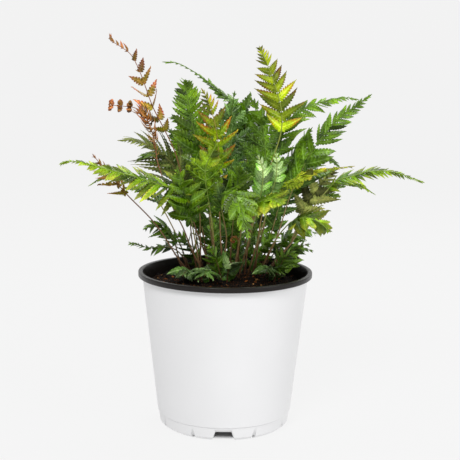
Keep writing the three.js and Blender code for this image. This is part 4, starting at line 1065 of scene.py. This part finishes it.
def leaf_finish(tone, colours):
    """Leathery fern blade with a waxy skin: a satin gloss over segments that swell between sunk
    veins, painted shade where the segments part, edges and tips that keep the young leaf's colour,
    and a paler, duller underside."""
    deep, fresh, edge = (getattr(colours, f"{tone}_{part}") for part in LEAF_PARTS)
    vein = linear(TONES[tone][3])
    material, tree = finish(f"waxy fern blade, {tone}")
    age, blush, reach, shade, under = (
        add(tree, "ShaderNodeAttribute", attribute_name=name).outputs["Fac"]
        for name in ("age", "blush", "reach", "shade", "under"))
    place = add(tree, "ShaderNodeTexCoord").outputs["Object"]
    patches = add(tree, "ShaderNodeTexNoise", {"Vector": place, "Scale": 1 / (12 * MM), "Detail": 3.0})
    mottle = add(tree, "ShaderNodeTexNoise", {"Vector": place, "Scale": 1 / (2.2 * MM), "Detail": 2.0})

    # The blade's own coordinates: how far off the middle, and where within a segment
    uv = add(tree, "ShaderNodeSeparateXYZ", {0: add(tree, "ShaderNodeUVMap", uv_map="UVMap")})
    off_middle = add(tree, "ShaderNodeMath", {0: uv.outputs["Y"], 1: 0.5}, operation="SUBTRACT")
    beside = add(tree, "ShaderNodeMath", {0: off_middle}, operation="ABSOLUTE")
    segment = add(tree, "ShaderNodeMath", {0: beside, 1: -1.6, 2: uv.outputs["X"]}, operation="MULTIPLY_ADD")
    segment = add(tree, "ShaderNodeMath", {0: segment}, operation="FRACT")
    off_vein = add(tree, "ShaderNodeMath", {0: segment, 1: 0.5}, operation="SUBTRACT")
    off_vein = add(tree, "ShaderNodeMath", {0: off_vein}, operation="ABSOLUTE")
    # Where the segments part: a sunk groove in the bump, and painted shade in the colour
    parting_groove_and_shade = add(tree, "ShaderNodeMapRange", {"Value": off_vein, "From Min": 0.3, "From Max": 0.5})
    free = add(tree, "ShaderNodeMapRange", {"Value": beside, "From Min": 0.05, "From Max": 0.3})
    parting_groove_and_shade = add(tree, "ShaderNodeMath", {0: parting_groove_and_shade, 1: free}, operation="MULTIPLY")

    # Colour from the frond's foot to its tip, then the edges, the veins and the underside
    growth = add(tree, "ShaderNodeMath", {0: patches, 1: 1.4, 2: -0.6}, operation="MULTIPLY_ADD")
    growth = add(tree, "ShaderNodeMath", {0: age, 1: 0.8, 2: growth}, operation="MULTIPLY_ADD",
                 use_clamp=True)
    colour = add(tree, "ShaderNodeMix", {0: growth, 6: deep, 7: fresh}, data_type="RGBA")
    rim = add(tree, "ShaderNodeMath", {0: reach, 1: 0.9, 2: beside}, operation="MULTIPLY_ADD")
    rim = add(tree, "ShaderNodeMath", {0: patches, 1: 0.7, 2: rim}, operation="MULTIPLY_ADD")
    rim = add(tree, "ShaderNodeMapRange", {"Value": rim, "From Min": 0.9, "From Max": 1.45})
    rim = add(tree, "ShaderNodeMath", {0: rim, 1: blush}, operation="MULTIPLY")
    colour = add(tree, "ShaderNodeMix", {0: rim, 6: colour, 7: edge}, data_type="RGBA")
    midvein = add(tree, "ShaderNodeMapRange", {"Value": beside, "From Min": 0.07, "From Max": 0.02})
    veins = VEINED.get(tone, USUAL_VEINS)
    drawn = add(tree, "ShaderNodeMath", {0: midvein, 1: veins}, operation="MULTIPLY")
    colour = add(tree, "ShaderNodeMix", {0: drawn, 6: colour, 7: vein}, data_type="RGBA")
    fine = add(tree, "ShaderNodeMapRange", {
        "Value": off_vein, "From Min": 0.09, "From Max": 0.02, "To Max": 0.35 * veins})
    colour = add(tree, "ShaderNodeMix", {0: fine, 6: colour, 7: vein}, data_type="RGBA")
    pale = add(tree, "ShaderNodeMath", {0: under, 1: 0.3}, operation="MULTIPLY")
    colour = add(tree, "ShaderNodeMix", {0: pale, 6: colour, 7: vein}, data_type="RGBA")

    # How light: leaf by leaf, in patches, mottled, and with painted shade where the segments part
    light = add(tree, "ShaderNodeMath", {0: shade, 1: 0.36, 2: 1.0}, operation="MULTIPLY_ADD")
    light = add(tree, "ShaderNodeMath", {0: light, 1: 0.3}, operation="MAXIMUM")
    for amount, strength, rest in ((parting_groove_and_shade, -0.7, 1.1), (mottle, 1.3, 0.35), (patches, 1.6, 0.2)):
        part = add(tree, "ShaderNodeMath", {0: amount, 1: strength, 2: rest}, operation="MULTIPLY_ADD")
        light = add(tree, "ShaderNodeMath", {0: light, 1: part}, operation="MULTIPLY")
    colour = add(tree, "ShaderNodeHueSaturation", {"Value": light, "Color": colour})
    skin = add(tree, "ShaderNodeMath", {0: mottle, 1: 0.3, 2: 0.18}, operation="MULTIPLY_ADD")
    roughness = add(tree, "ShaderNodeMath", {0: under, 1: 0.35, 2: skin}, operation="MULTIPLY_ADD")
    sunk = add(tree, "ShaderNodeMath", {0: parting_groove_and_shade, 1: 1.6, 2: midvein}, operation="MULTIPLY_ADD")
    swell = add(tree, "ShaderNodeMath", {0: mottle, 1: 0.5}, operation="MULTIPLY")
    height = add(tree, "ShaderNodeMath", {0: swell, 1: sunk}, operation="SUBTRACT")
    bump = add(tree, "ShaderNodeBump", {"Height": height, "Strength": 0.6, "Distance": 0.3 * MM})
    shader = add(tree, "ShaderNodeBsdfPrincipled", {
        "Base Color": colour, "Roughness": roughness, "Normal": bump, "IOR": 1.45,
        "Specular IOR Level": GLOSS.get(tone, USUAL_GLOSS)})
    add(tree, "ShaderNodeOutputMaterial", {"Surface": shader})
    return material


def stalk_finish(tone):
    """Fern stalk: smooth and fibrous along its length, browner and duller near the soil, and the
    ribs of the leaflets as fresh as the leaf."""
    foot, high, rib = (linear(code) for code in TONES[tone][4:])
    material, tree = finish(f"fibrous fern stalk, {tone}")
    age, is_rib = (add(tree, "ShaderNodeAttribute", attribute_name=name).outputs["Fac"]
                   for name in ("age", "rib"))
    place = add(tree, "ShaderNodeTexCoord").outputs["Object"]
    # The fibres are finer than a pixel of the render, so they are drawn 1.1 mm wide
    fibres = (1 / (1.1 * MM), 1 / (1.1 * MM), 1 / (17 * MM))
    streaks = add(tree, "ShaderNodeMapping", {"Vector": place, "Scale": fibres})
    fibre = add(tree, "ShaderNodeTexNoise", {"Vector": streaks, "Scale": 1.0, "Detail": 3.0})
    level = add(tree, "ShaderNodeSeparateXYZ", {0: place}).outputs["Z"]
    low = add(tree, "ShaderNodeMapRange", {"Value": level, "From Min": 185 * MM, "From Max": 146 * MM})
    fresh = add(tree, "ShaderNodeMapRange", {"Value": age, "From Min": 0.2, "From Max": 0.65})
    body = add(tree, "ShaderNodeMix", {0: fibre, 6: foot, 7: linear("#a8845c")}, data_type="RGBA")
    body = add(tree, "ShaderNodeMix", {0: fresh, 6: body, 7: high}, data_type="RGBA")
    body = add(tree, "ShaderNodeMix", {0: low, 6: body, 7: linear("#4a2a1a")}, data_type="RGBA")
    colour = add(tree, "ShaderNodeMix", {0: is_rib, 6: body, 7: rib}, data_type="RGBA")
    bump = add(tree, "ShaderNodeBump", {"Height": fibre, "Strength": 0.3, "Distance": 0.2 * MM})
    shader = add(tree, "ShaderNodeBsdfPrincipled", {
        "Base Color": colour, "Roughness": 0.42, "Normal": bump, "IOR": 1.45, "Specular IOR Level": 0.35})
    add(tree, "ShaderNodeOutputMaterial", {"Surface": shader})
    return material


def moulded_finish(name, colour, worn, roughness, gloss):
    """Injection-moulded polypropylene: an even, satin skin, with the faint flow marks of the mould
    and a few fine scuffs that show only in the gloss."""
    material, tree = finish(name)
    place = add(tree, "ShaderNodeTexCoord").outputs["Object"]
    flow = add(tree, "ShaderNodeTexNoise", {"Vector": place, "Scale": 1 / (45 * MM), "Detail": 2.0})
    # Scuffs are as fine as a hair, and are drawn 2 mm wide to show in the gloss
    streaked = (1 / (2 * MM), 1 / (2 * MM), 1 / (25 * MM))
    upright = add(tree, "ShaderNodeMapping", {"Vector": place, "Scale": streaked})
    scuff = add(tree, "ShaderNodeTexNoise", {"Vector": upright, "Scale": 1.0, "Detail": 4.0})
    base = add(tree, "ShaderNodeMix", {0: flow, 6: colour, 7: worn}, data_type="RGBA")
    rough = add(tree, "ShaderNodeMapRange", {
        "Value": scuff, "From Min": 0.5, "From Max": 0.9, "To Min": roughness, "To Max": roughness + 0.3})
    bump = add(tree, "ShaderNodeBump", {"Height": flow, "Strength": 0.05, "Distance": 0.5 * MM})
    shader = add(tree, "ShaderNodeBsdfPrincipled", {
        "Base Color": base, "Roughness": rough, "Normal": bump, "IOR": 1.49, "Specular IOR Level": gloss})
    add(tree, "ShaderNodeOutputMaterial", {"Surface": shader})
    return material


def soil_finish(colour):
    """Moist peat: dull and crumbly, with painted shade, nearly black, in the hollows between the crumbs, and
    pale fibres in it.
    """
    material, tree = finish("moist peat")
    place = add(tree, "ShaderNodeTexCoord").outputs["Object"]
    crumbs = add(tree, "ShaderNodeTexNoise", {"Vector": place, "Scale": 1 / (2 * MM), "Detail": 4.0})
    # The fibres are finer than a pixel of the render, so they are drawn as flecks of 0.9 mm
    flecks = add(tree, "ShaderNodeTexNoise", {"Vector": place, "Scale": 1 / (0.9 * MM), "Detail": 1.0})
    crumb_tops_over_painted_shade = add(tree, "ShaderNodeMapRange", {"Value": crumbs, "From Min": 0.4, "From Max": 0.7})
    fibres = add(tree, "ShaderNodeMapRange", {"Value": flecks, "From Min": 0.66, "From Max": 0.72})
    # Painted shade: the hollows between the crumbs are drawn nearly black, #060302
    base = add(tree, "ShaderNodeMix", {0: crumb_tops_over_painted_shade, 6: linear("#060302"), 7: colour}, data_type="RGBA")
    base = add(tree, "ShaderNodeMix", {0: fibres, 6: base, 7: linear("#8c5428")}, data_type="RGBA")
    bump = add(tree, "ShaderNodeBump", {"Height": crumbs, "Strength": 0.9, "Distance": 0.8 * MM})
    shader = add(tree, "ShaderNodeBsdfPrincipled", {
        "Base Color": base, "Roughness": 0.95, "Normal": bump, "Specular IOR Level": 0.15})
    add(tree, "ShaderNodeOutputMaterial", {"Surface": shader})
    return material


def bark_finish(colour):
    """Composted bark and roots: each bit its own brown, from nearly black to orange tan, dull and
    fibrous."""
    material, tree = finish("shredded bark")
    tint = add(tree, "ShaderNodeAttribute", attribute_name="tint").outputs["Fac"]
    ramp = add(tree, "ShaderNodeValToRGB", {"Fac": tint})
    stops = [(0.0, "#060302"), (0.6, "#100804"), (0.78, "#2c190c"), (0.91, "#a05c22"), (1.0, "#d0a468")]
    for i, (place, code) in enumerate(stops):
        stop = ramp.color_ramp.elements[i] if i < 2 else ramp.color_ramp.elements.new(place)
        stop.position = place
        stop.color = linear(code)
    place = add(tree, "ShaderNodeTexCoord").outputs["Object"]
    # Bark's grain is finer than a pixel of the render, so it is drawn 1.1 mm wide
    grain = add(tree, "ShaderNodeTexNoise", {"Vector": place, "Scale": 1 / (1.1 * MM), "Detail": 3.0})
    amount = add(tree, "ShaderNodeMath", {0: grain, 1: 0.4}, operation="MULTIPLY")
    base = add(tree, "ShaderNodeMix", {0: amount, 6: ramp, 7: colour}, data_type="RGBA",
               blend_type="OVERLAY")
    bump = add(tree, "ShaderNodeBump", {"Height": grain, "Strength": 0.6, "Distance": 0.4 * MM})
    shader = add(tree, "ShaderNodeBsdfPrincipled", {
        "Base Color": base, "Roughness": 0.85, "Normal": bump, "Specular IOR Level": 0.2})
    add(tree, "ShaderNodeOutputMaterial", {"Surface": shader})
    return material


# Pieces

def new_piece(name, data):
    """An object in the scene, at the origin."""
    piece = bpy.data.objects.new(name, data)
    bpy.context.scene.collection.objects.link(piece)
    return piece


def lathe(name, profile, sides):
    """A closed mesh turned from a profile, in millimetres, that starts and ends on the axis."""
    mesh = bmesh.new()
    rings = []
    for radius, height in profile:
        count = sides if radius > 0 else 1
        rings.append([mesh.verts.new((radius * MM * math.cos(2 * math.pi * i / sides),
                                      radius * MM * math.sin(2 * math.pi * i / sides), height * MM))
                      for i in range(count)])
    for low, high in zip(rings, rings[1:]):
        for i in range(sides):
            j = i + 1
            corners = (low[i % len(low)], low[j % len(low)], high[j % len(high)], high[i % len(high)])
            mesh.faces.new(list(dict.fromkeys(corners))).smooth = True
    bmesh.ops.recalc_face_normals(mesh, faces=mesh.faces)
    return as_mesh(mesh, name)


def rounded(corners, radius, steps=4):
    """A profile, of (radius, height) corners, with all but its two ends rounded."""
    points = [corners[0]]
    for before, corner, after in zip(corners, corners[1:], corners[2:]):
        before, corner, after = (np.array(p, float) for p in (before, corner, after))
        reach = min(radius, 0.45 * np.linalg.norm(before - corner), 0.45 * np.linalg.norm(after - corner))
        start = corner + unit(before - corner) * reach
        end = corner + unit(after - corner) * reach
        for i in range(steps + 1):
            t = i / steps
            points.append(tuple(start * (1 - t) ** 2 + corner * 2 * t * (1 - t) + end * t ** 2))
    return points + [corners[-1]]


def slot_cutter(top_width, foot_width, height, angle):
    """A wedge that cuts one drain slot through the foot of the pot, from 1 mm below it."""
    below = -1
    outline = [(-foot_width / 2, below), (foot_width / 2, below),
               (top_width / 2, height), (-top_width / 2, height)]
    mesh = bmesh.new()
    near, far = ([mesh.verts.new((x, -radius, z)) for x, z in outline]
                 for radius in (SLOT_INNER_RADIUS, SLOT_OUTER_RADIUS))
    mesh.faces.new(near)
    mesh.faces.new(far)
    for i in range(4):
        j = (i + 1) % 4
        mesh.faces.new((near[i], near[j], far[j], far[i]))
    bmesh.ops.recalc_face_normals(mesh, faces=mesh.faces)
    mesh.transform(Matrix.Rotation(math.radians(angle), 4, "Z") @ Matrix.Scale(MM, 4))
    return bpy.data.objects.new("slot cutter", as_mesh(mesh, "slot cutter"))


class FERN_OT_pot(bpy.types.Operator):
    """Makes the white nursery pot with its black rim and inside and its drain slots"""

    bl_idname = "fern.make_pot"
    bl_label = "Make the pot"

    def execute(self, context):
        settings = context.scene.fern_pot
        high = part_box("pot")[1] / MM
        top = high.z
        rim_foot = top - RIM_HEIGHT
        inside = WALL_TOP_RADIUS - WALL_THICKNESS
        outer = [(0, 0), (BASE_RADIUS, 0), (FOOT_RADIUS, FOOT_CHAMFER),
                 (WALL_FOOT_RADIUS - FOOT_STEP, FOOT_HEIGHT),
                 (WALL_FOOT_RADIUS, FOOT_HEIGHT + FOOT_STEP_HEIGHT), (WALL_TOP_RADIUS, rim_foot),
                 (high.x, rim_foot), (high.x, top), (RIM_INNER_RADIUS, top), (inside, rim_foot - RIM_DEPTH),
                 (WALL_FOOT_RADIUS - FOOT_STEP - WALL_THICKNESS, FOOT_HEIGHT),
                 (BASE_RADIUS, BASE_THICKNESS), (0, BASE_THICKNESS)]
        pot = new_piece("nursery_pot", lathe("nursery_pot", rounded(outer, ROUNDING), settings.sides))
        cutters = bpy.data.collections.new("slot cutters")
        for i in range(SLOT_COUNT):
            angle = i * 360 / SLOT_COUNT
            cutters.objects.link(slot_cutter(SLOT_TOP_WIDTH, SLOT_FOOT_WIDTH, SLOT_HEIGHT, angle))
            for side in (-1, 1):
                cutters.objects.link(slot_cutter(SMALL_SLOT_WIDTH, SMALL_SLOT_WIDTH, SMALL_SLOT_HEIGHT,
                                                 angle + side * SMALL_SLOT_ANGLE))
        context.scene.collection.children.link(cutters)
        cut = pot.modifiers.new("drain slots", "BOOLEAN")
        cut.operand_type = "COLLECTION"
        cut.collection = cutters
        cut.operation = "DIFFERENCE"
        cut.solver = "EXACT"
        made_real(pot)
        remove_collection(cutters)
        pot.data.materials.clear()
        for plastic in (("white moulded polypropylene", settings.wall_colour, linear("#e9e9ea"), 0.34, 0.4),
                        ("black moulded polypropylene", settings.rim_colour, linear("#1c1714"), 0.3, 0.3)):
            pot.data.materials.append(moulded_finish(*plastic))
        # Black is what looks at the axis above the foot, and the rim
        for face in pot.data.polygons:
            outward = face.center.x * face.normal.x + face.center.y * face.normal.y
            inner = outward < -0.3 * MM * WALL_TOP_RADIUS
            level = face.center.z / MM
            face.material_index = int(level > rim_foot - 0.2 or inner and level > FOOT_HEIGHT)
            face.use_smooth = True
        keep(pot, "pot_plastic", "pot")
        return {"FINISHED"}


def soil_level(x, y):
    """Height of the soil's surface in millimetres, as in the solid."""
    edge = WALL_TOP_RADIUS - WALL_THICKNESS
    mound = SOIL_MOUND * (1 - (x * x + y * y) / (edge * edge))
    bumps = math.sin(x * 0.31 + 1.3) * math.cos(y * 0.27)
    waves = 0.6 * math.sin(x * 0.13 - y * 0.19)
    return SOIL_EDGE_LEVEL + mound + SOIL_BUMP * (bumps + waves)


def inside_radius(height, top):
    """Radius of the pot's inside at a height on its wall, in millimetres."""
    foot = WALL_FOOT_RADIUS - FOOT_STEP - WALL_THICKNESS
    share = (height - FOOT_HEIGHT) / (top - RIM_HEIGHT - RIM_DEPTH - FOOT_HEIGHT)
    return foot + (WALL_TOP_RADIUS - WALL_THICKNESS - foot) * share


def chip_tree():
    """Scatters bark and roots over the soil, laid almost flat and turned at random."""
    tree, given = geometry_group("Bark scatter", "Strewn", {
        "Soil": "Geometry", "Chips": "Collection", "Density": "Float", "Chip size": "Float",
        "Seed": "Int", "Bark": "Material"})
    facing = add(tree, "GeometryNodeInputNormal")
    height = add(tree, "ShaderNodeSeparateXYZ", {0: facing}).outputs["Z"]
    is_top = add(tree, "FunctionNodeCompare", {"A": height, "B": 0.4}, data_type="FLOAT",
                 operation="GREATER_THAN")
    spread = add(tree, "GeometryNodeDistributePointsOnFaces", {
        "Mesh": given["Soil"], "Selection": is_top, "Density": given["Density"], "Seed": given["Seed"]})
    forms = add(tree, "GeometryNodeCollectionInfo",
                {"Collection": given["Chips"], "Separate Children": True, "Reset Children": True})
    turn = add(tree, "FunctionNodeRandomValue", {0: (-0.5, -0.5, 0.0), 1: (0.5, 0.5, 6.283), "Seed": 3},
               data_type="FLOAT_VECTOR")
    grown = add(tree, "FunctionNodeRandomValue", {2: 0.25, 3: 1.15, "Seed": 4}, data_type="FLOAT")
    size = add(tree, "ShaderNodeMath", {0: grown, 1: given["Chip size"]}, operation="MULTIPLY")
    chips = add(tree, "GeometryNodeInstanceOnPoints", {
        "Points": spread, "Instance": forms, "Pick Instance": True, "Rotation": turn, "Scale": size})
    tint = add(tree, "FunctionNodeRandomValue", {2: 0.0, 3: 1.0, "Seed": 9}, data_type="FLOAT")
    tinted = add(tree, "GeometryNodeStoreNamedAttribute",
                 {"Geometry": chips, "Name": "tint", "Value": tint}, data_type="FLOAT", domain="INSTANCE")
    real = add(tree, "GeometryNodeRealizeInstances", {"Geometry": tinted})
    barked = add(tree, "GeometryNodeSetMaterial", {"Geometry": real, "Material": given["Bark"]})
    add(tree, "NodeGroupOutput", {"Strewn": barked})
    return tree


# Chips of bark and bits of root, a unit long: width, thickness and how far they bend, and how
# unevenly their length and their thickness are torn
CHIP_FORMS = [(0.16, 0.10, 0), (0.30, 0.14, 0.1), (0.45, 0.20, 0), (0.70, 0.35, 0), (0.07, 0.06, 0.5),
              (0.85, 0.60, 0), (0.25, 0.20, 0.2)]
TORN = 0.16
TORN_THIN = 0.1


def chip_collection(rng):
    """The chip forms as objects, each a torn ball."""
    collection = bpy.data.collections.new("bark chips")
    for i, (wide, thick, bend) in enumerate(CHIP_FORMS):
        mesh = bmesh.new()
        bmesh.ops.create_icosphere(mesh, subdivisions=1, radius=0.5)
        for vertex in mesh.verts:
            torn = 1 + rng.normal(0, TORN)
            x = vertex.co.x * torn
            vertex.co = (x, vertex.co.y * wide * torn + bend * x * x,
                         vertex.co.z * thick * (1 + rng.normal(0, TORN_THIN)))
        collection.objects.link(bpy.data.objects.new(f"chip {i}", as_mesh(mesh, f"chip {i}")))
    return collection


class FERN_OT_soil(bpy.types.Operator):
    """Makes the potting soil and the shredded bark that lies on it"""

    bl_idname = "fern.make_soil"
    bl_label = "Make the soil"

    def execute(self, context):
        settings = context.scene.fern_soil
        rng = np.random.default_rng(settings.seed)
        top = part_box("pot")[1].z / MM
        edge_level = SOIL_EDGE_LEVEL - SOIL_EDGE_DROP
        edge = inside_radius(edge_level, top) - SOIL_GAP
        profile = [(0, FOOT_HEIGHT), (inside_radius(FOOT_HEIGHT, top) - SOIL_GAP, FOOT_HEIGHT),
                   (edge, edge_level)]
        profile += [(edge * i / SOIL_RINGS, SOIL_EDGE_LEVEL) for i in range(SOIL_RINGS, -1, -1)]
        mesh = lathe("potting_soil", profile, SOIL_SIDES)
        for vertex in mesh.vertices:
            x, y = vertex.co.x / MM, vertex.co.y / MM
            if vertex.co.z / MM > SOIL_EDGE_LEVEL - NEARLY:
                crumble = 0.0 if math.hypot(x, y) > edge - NEARLY else rng.normal(0, SOIL_CRUMBLE)
                vertex.co.z = (soil_level(x, y) + crumble) * MM
        mesh.materials.append(soil_finish(settings.colour))
        keep(new_piece("potting_soil", mesh), "potting_soil", "soil")
        chips = chip_collection(rng)
        strewn = new_piece("bark_chips", mesh.copy())
        modifier = strewn.modifiers.new("bark", "NODES")
        modifier.node_group = chip_tree()
        area = math.pi * (edge * MM) ** 2
        set_inputs(modifier, {"Chips": chips, "Density": settings.chips / area,
                              "Chip size": settings.chip_size, "Seed": settings.seed,
                              "Bark": bark_finish(settings.bark_colour)})
        made_real(strewn)
        remove_collection(chips)
        keep(strewn, "potting_soil")
        return {"FINISHED"}


class FERN_OT_fronds(bpy.types.Operator):
    """Grows every frond with its pinnules on the form of its solid"""

    bl_idname = "fern.make_fronds"
    bl_label = "Make the fronds"

    def execute(self, context):
        settings = context.scene.fern_fronds
        blades = blade_collection()
        growth = frond_tree()
        leaves = {tone: leaf_finish(tone, context.scene.fern_leaves) for tone in TONES}
        stalks = {tone: stalk_finish(tone) for tone in TONES}
        for i, plan_of in enumerate(FRONDS):
            name = plan_of["name"]
            tone = OWN_FINISHES.get(name, plan_of["tone"])
            plan = grow_frond(plan_of, np.random.default_rng([settings.seed, i]))
            piece = new_piece(f"{name}_leaf" if plan_of["pairs"] else "coiled_frond", plan.mesh(name))
            modifier = piece.modifiers.new("growth", "NODES")
            modifier.node_group = growth
            set_inputs(modifier, {"Blades": blades, "Blade scale": settings.blade_scale,
                                  "Stalk sides": settings.stalk_sides, "Leaf": leaves[tone],
                                  "Stalk": stalks[tone]})
            made_real(piece)
            for field in Plan.HELPERS:
                attribute = piece.data.attributes.get(field)
                if attribute:
                    piece.data.attributes.remove(attribute)
            for face in piece.data.polygons:
                face.use_smooth = True
            keep(piece, f"frond_{plan_of['tone']}", name)
        remove_collection(blades)
        return {"FINISHED"}


# In metres: the backdrop's cross section and half its width, the point that the softboxes look at,
# and their places and sizes, each with the name of the setting that holds its power
BACKDROP = [(-4.0, 0.0), (2.9, 0.0), (3.4, 0.07), (3.75, 0.3), (3.9, 0.8), (3.9, 3.0)]
HALF_WIDTH = 4.0
LIT_POINT = (0, 0, 0.2)
SOFTBOXES = [("key softbox", (-0.35, -1.35, 1.6), 0.6, "key_power"),
             ("fill softbox", (1.4, -0.9, 0.9), 1.0, "fill_power"),
             ("back softbox", (0.3, 1.0, 1.4), 0.9, "fill_power")]

# The place and view of the photo's camera, against the pot: its lens and sensor in millimetres, how
# far it looks down and leans in degrees, and how far it stands to the side in metres
SENSOR_WIDTH = 36
CAMERA_LENS = 82.8
CAMERA_PITCH = 9.10
CAMERA_ROLL = 0.59
CAMERA_SIDE = 0.0044


class FERN_OT_stage(bpy.types.Operator):
    """Sets up the pale floor, the soft lights and the camera of the photo"""

    bl_idname = "fern.make_stage"
    bl_label = "Make the stage"

    def execute(self, context):
        settings = context.scene.fern_stage
        scene = context.scene
        scene.view_settings.view_transform = "Standard"
        material, tree = finish("lit studio paper")
        shader = add(tree, "ShaderNodeBsdfPrincipled", {
            "Base Color": linear("#3c3c3c"), "Roughness": 0.9, "Specular IOR Level": 0.0,
            "Emission Color": settings.floor_colour, "Emission Strength": settings.floor_glow})
        add(tree, "ShaderNodeOutputMaterial", {"Surface": shader})
        mesh = bmesh.new()
        rows = [[mesh.verts.new((x, y, z)) for x in (-HALF_WIDTH, HALF_WIDTH)] for y, z in BACKDROP]
        for (a, b), (d, c) in zip(rows, rows[1:]):
            mesh.faces.new((a, b, c, d)).smooth = True
        floor = new_piece("studio_floor", as_mesh(mesh, "studio_floor"))
        floor.data.materials.append(material)
        world = bpy.data.worlds.new("soft room")
        world.use_nodes = True
        back = world.node_tree.nodes["Background"]
        back.inputs["Color"].default_value = (1, 1, 1, 1)
        back.inputs["Strength"].default_value = settings.room_light
        scene.world = world
        for name, place, size, power in SOFTBOXES:
            light = bpy.data.lights.new(name, "AREA")
            light.size = size
            light.energy = getattr(settings, power)
            lamp = new_piece(name, light)
            lamp.location = place
            aim = Vector(LIT_POINT) - Vector(place)
            lamp.rotation_euler = aim.to_track_quat("-Z", "Y").to_euler()
        camera = new_piece("photo camera", bpy.data.cameras.new("photo camera"))
        camera.data.lens = CAMERA_LENS
        camera.data.sensor_width = SENSOR_WIDTH
        camera.location = (CAMERA_SIDE, -settings.camera_distance, settings.camera_height)
        tilt = Matrix.Rotation(math.radians(90 - CAMERA_PITCH), 4, "X")
        roll = Matrix.Rotation(math.radians(CAMERA_ROLL), 4, "Z")
        camera.rotation_euler = (tilt @ roll).to_euler()
        scene.camera = camera
        return {"FINISHED"}


class FERN_PT_panel(bpy.types.Panel):
    bl_idname = "FERN_PT_panel"
    bl_label = "Potted autumn fern"
    bl_space_type = "VIEW_3D"
    bl_region_type = "UI"
    bl_category = "Fern"

    def draw(self, context):
        for operator, *groups in OPERATORS:
            box = self.layout.box()
            for group in groups:
                settings = getattr(context.scene, group)
                for name in SETTINGS[group].__annotations__:
                    box.prop(settings, name)
            box.operator(operator)


SETTINGS = {"fern_pot": FernPotSettings, "fern_soil": FernSoilSettings, "fern_fronds": FernFrondSettings,
            "fern_leaves": FernLeafSettings, "fern_stage": FernStageSettings}
OPERATORS = [("fern.make_pot", "fern_pot"), ("fern.make_soil", "fern_soil"),
             ("fern.make_fronds", "fern_fronds", "fern_leaves"), ("fern.make_stage", "fern_stage")]
CLASSES = [*SETTINGS.values(), FERN_OT_pot, FERN_OT_soil, FERN_OT_fronds, FERN_OT_stage, FERN_PT_panel]


def register():
    for each in CLASSES:
        bpy.utils.register_class(each)
    for name, group in SETTINGS.items():
        setattr(bpy.types.Scene, name, bpy.props.PointerProperty(type=group))


def unregister():
    for name in SETTINGS:
        delattr(bpy.types.Scene, name)
    for each in reversed(CLASSES):
        bpy.utils.unregister_class(each)


def main():
    register()
    bpy.ops.fern.make_stage()
    bpy.ops.fern.make_pot()
    bpy.ops.fern.make_soil()
    bpy.ops.fern.make_fronds()


if __name__ == "__main__":
    main()
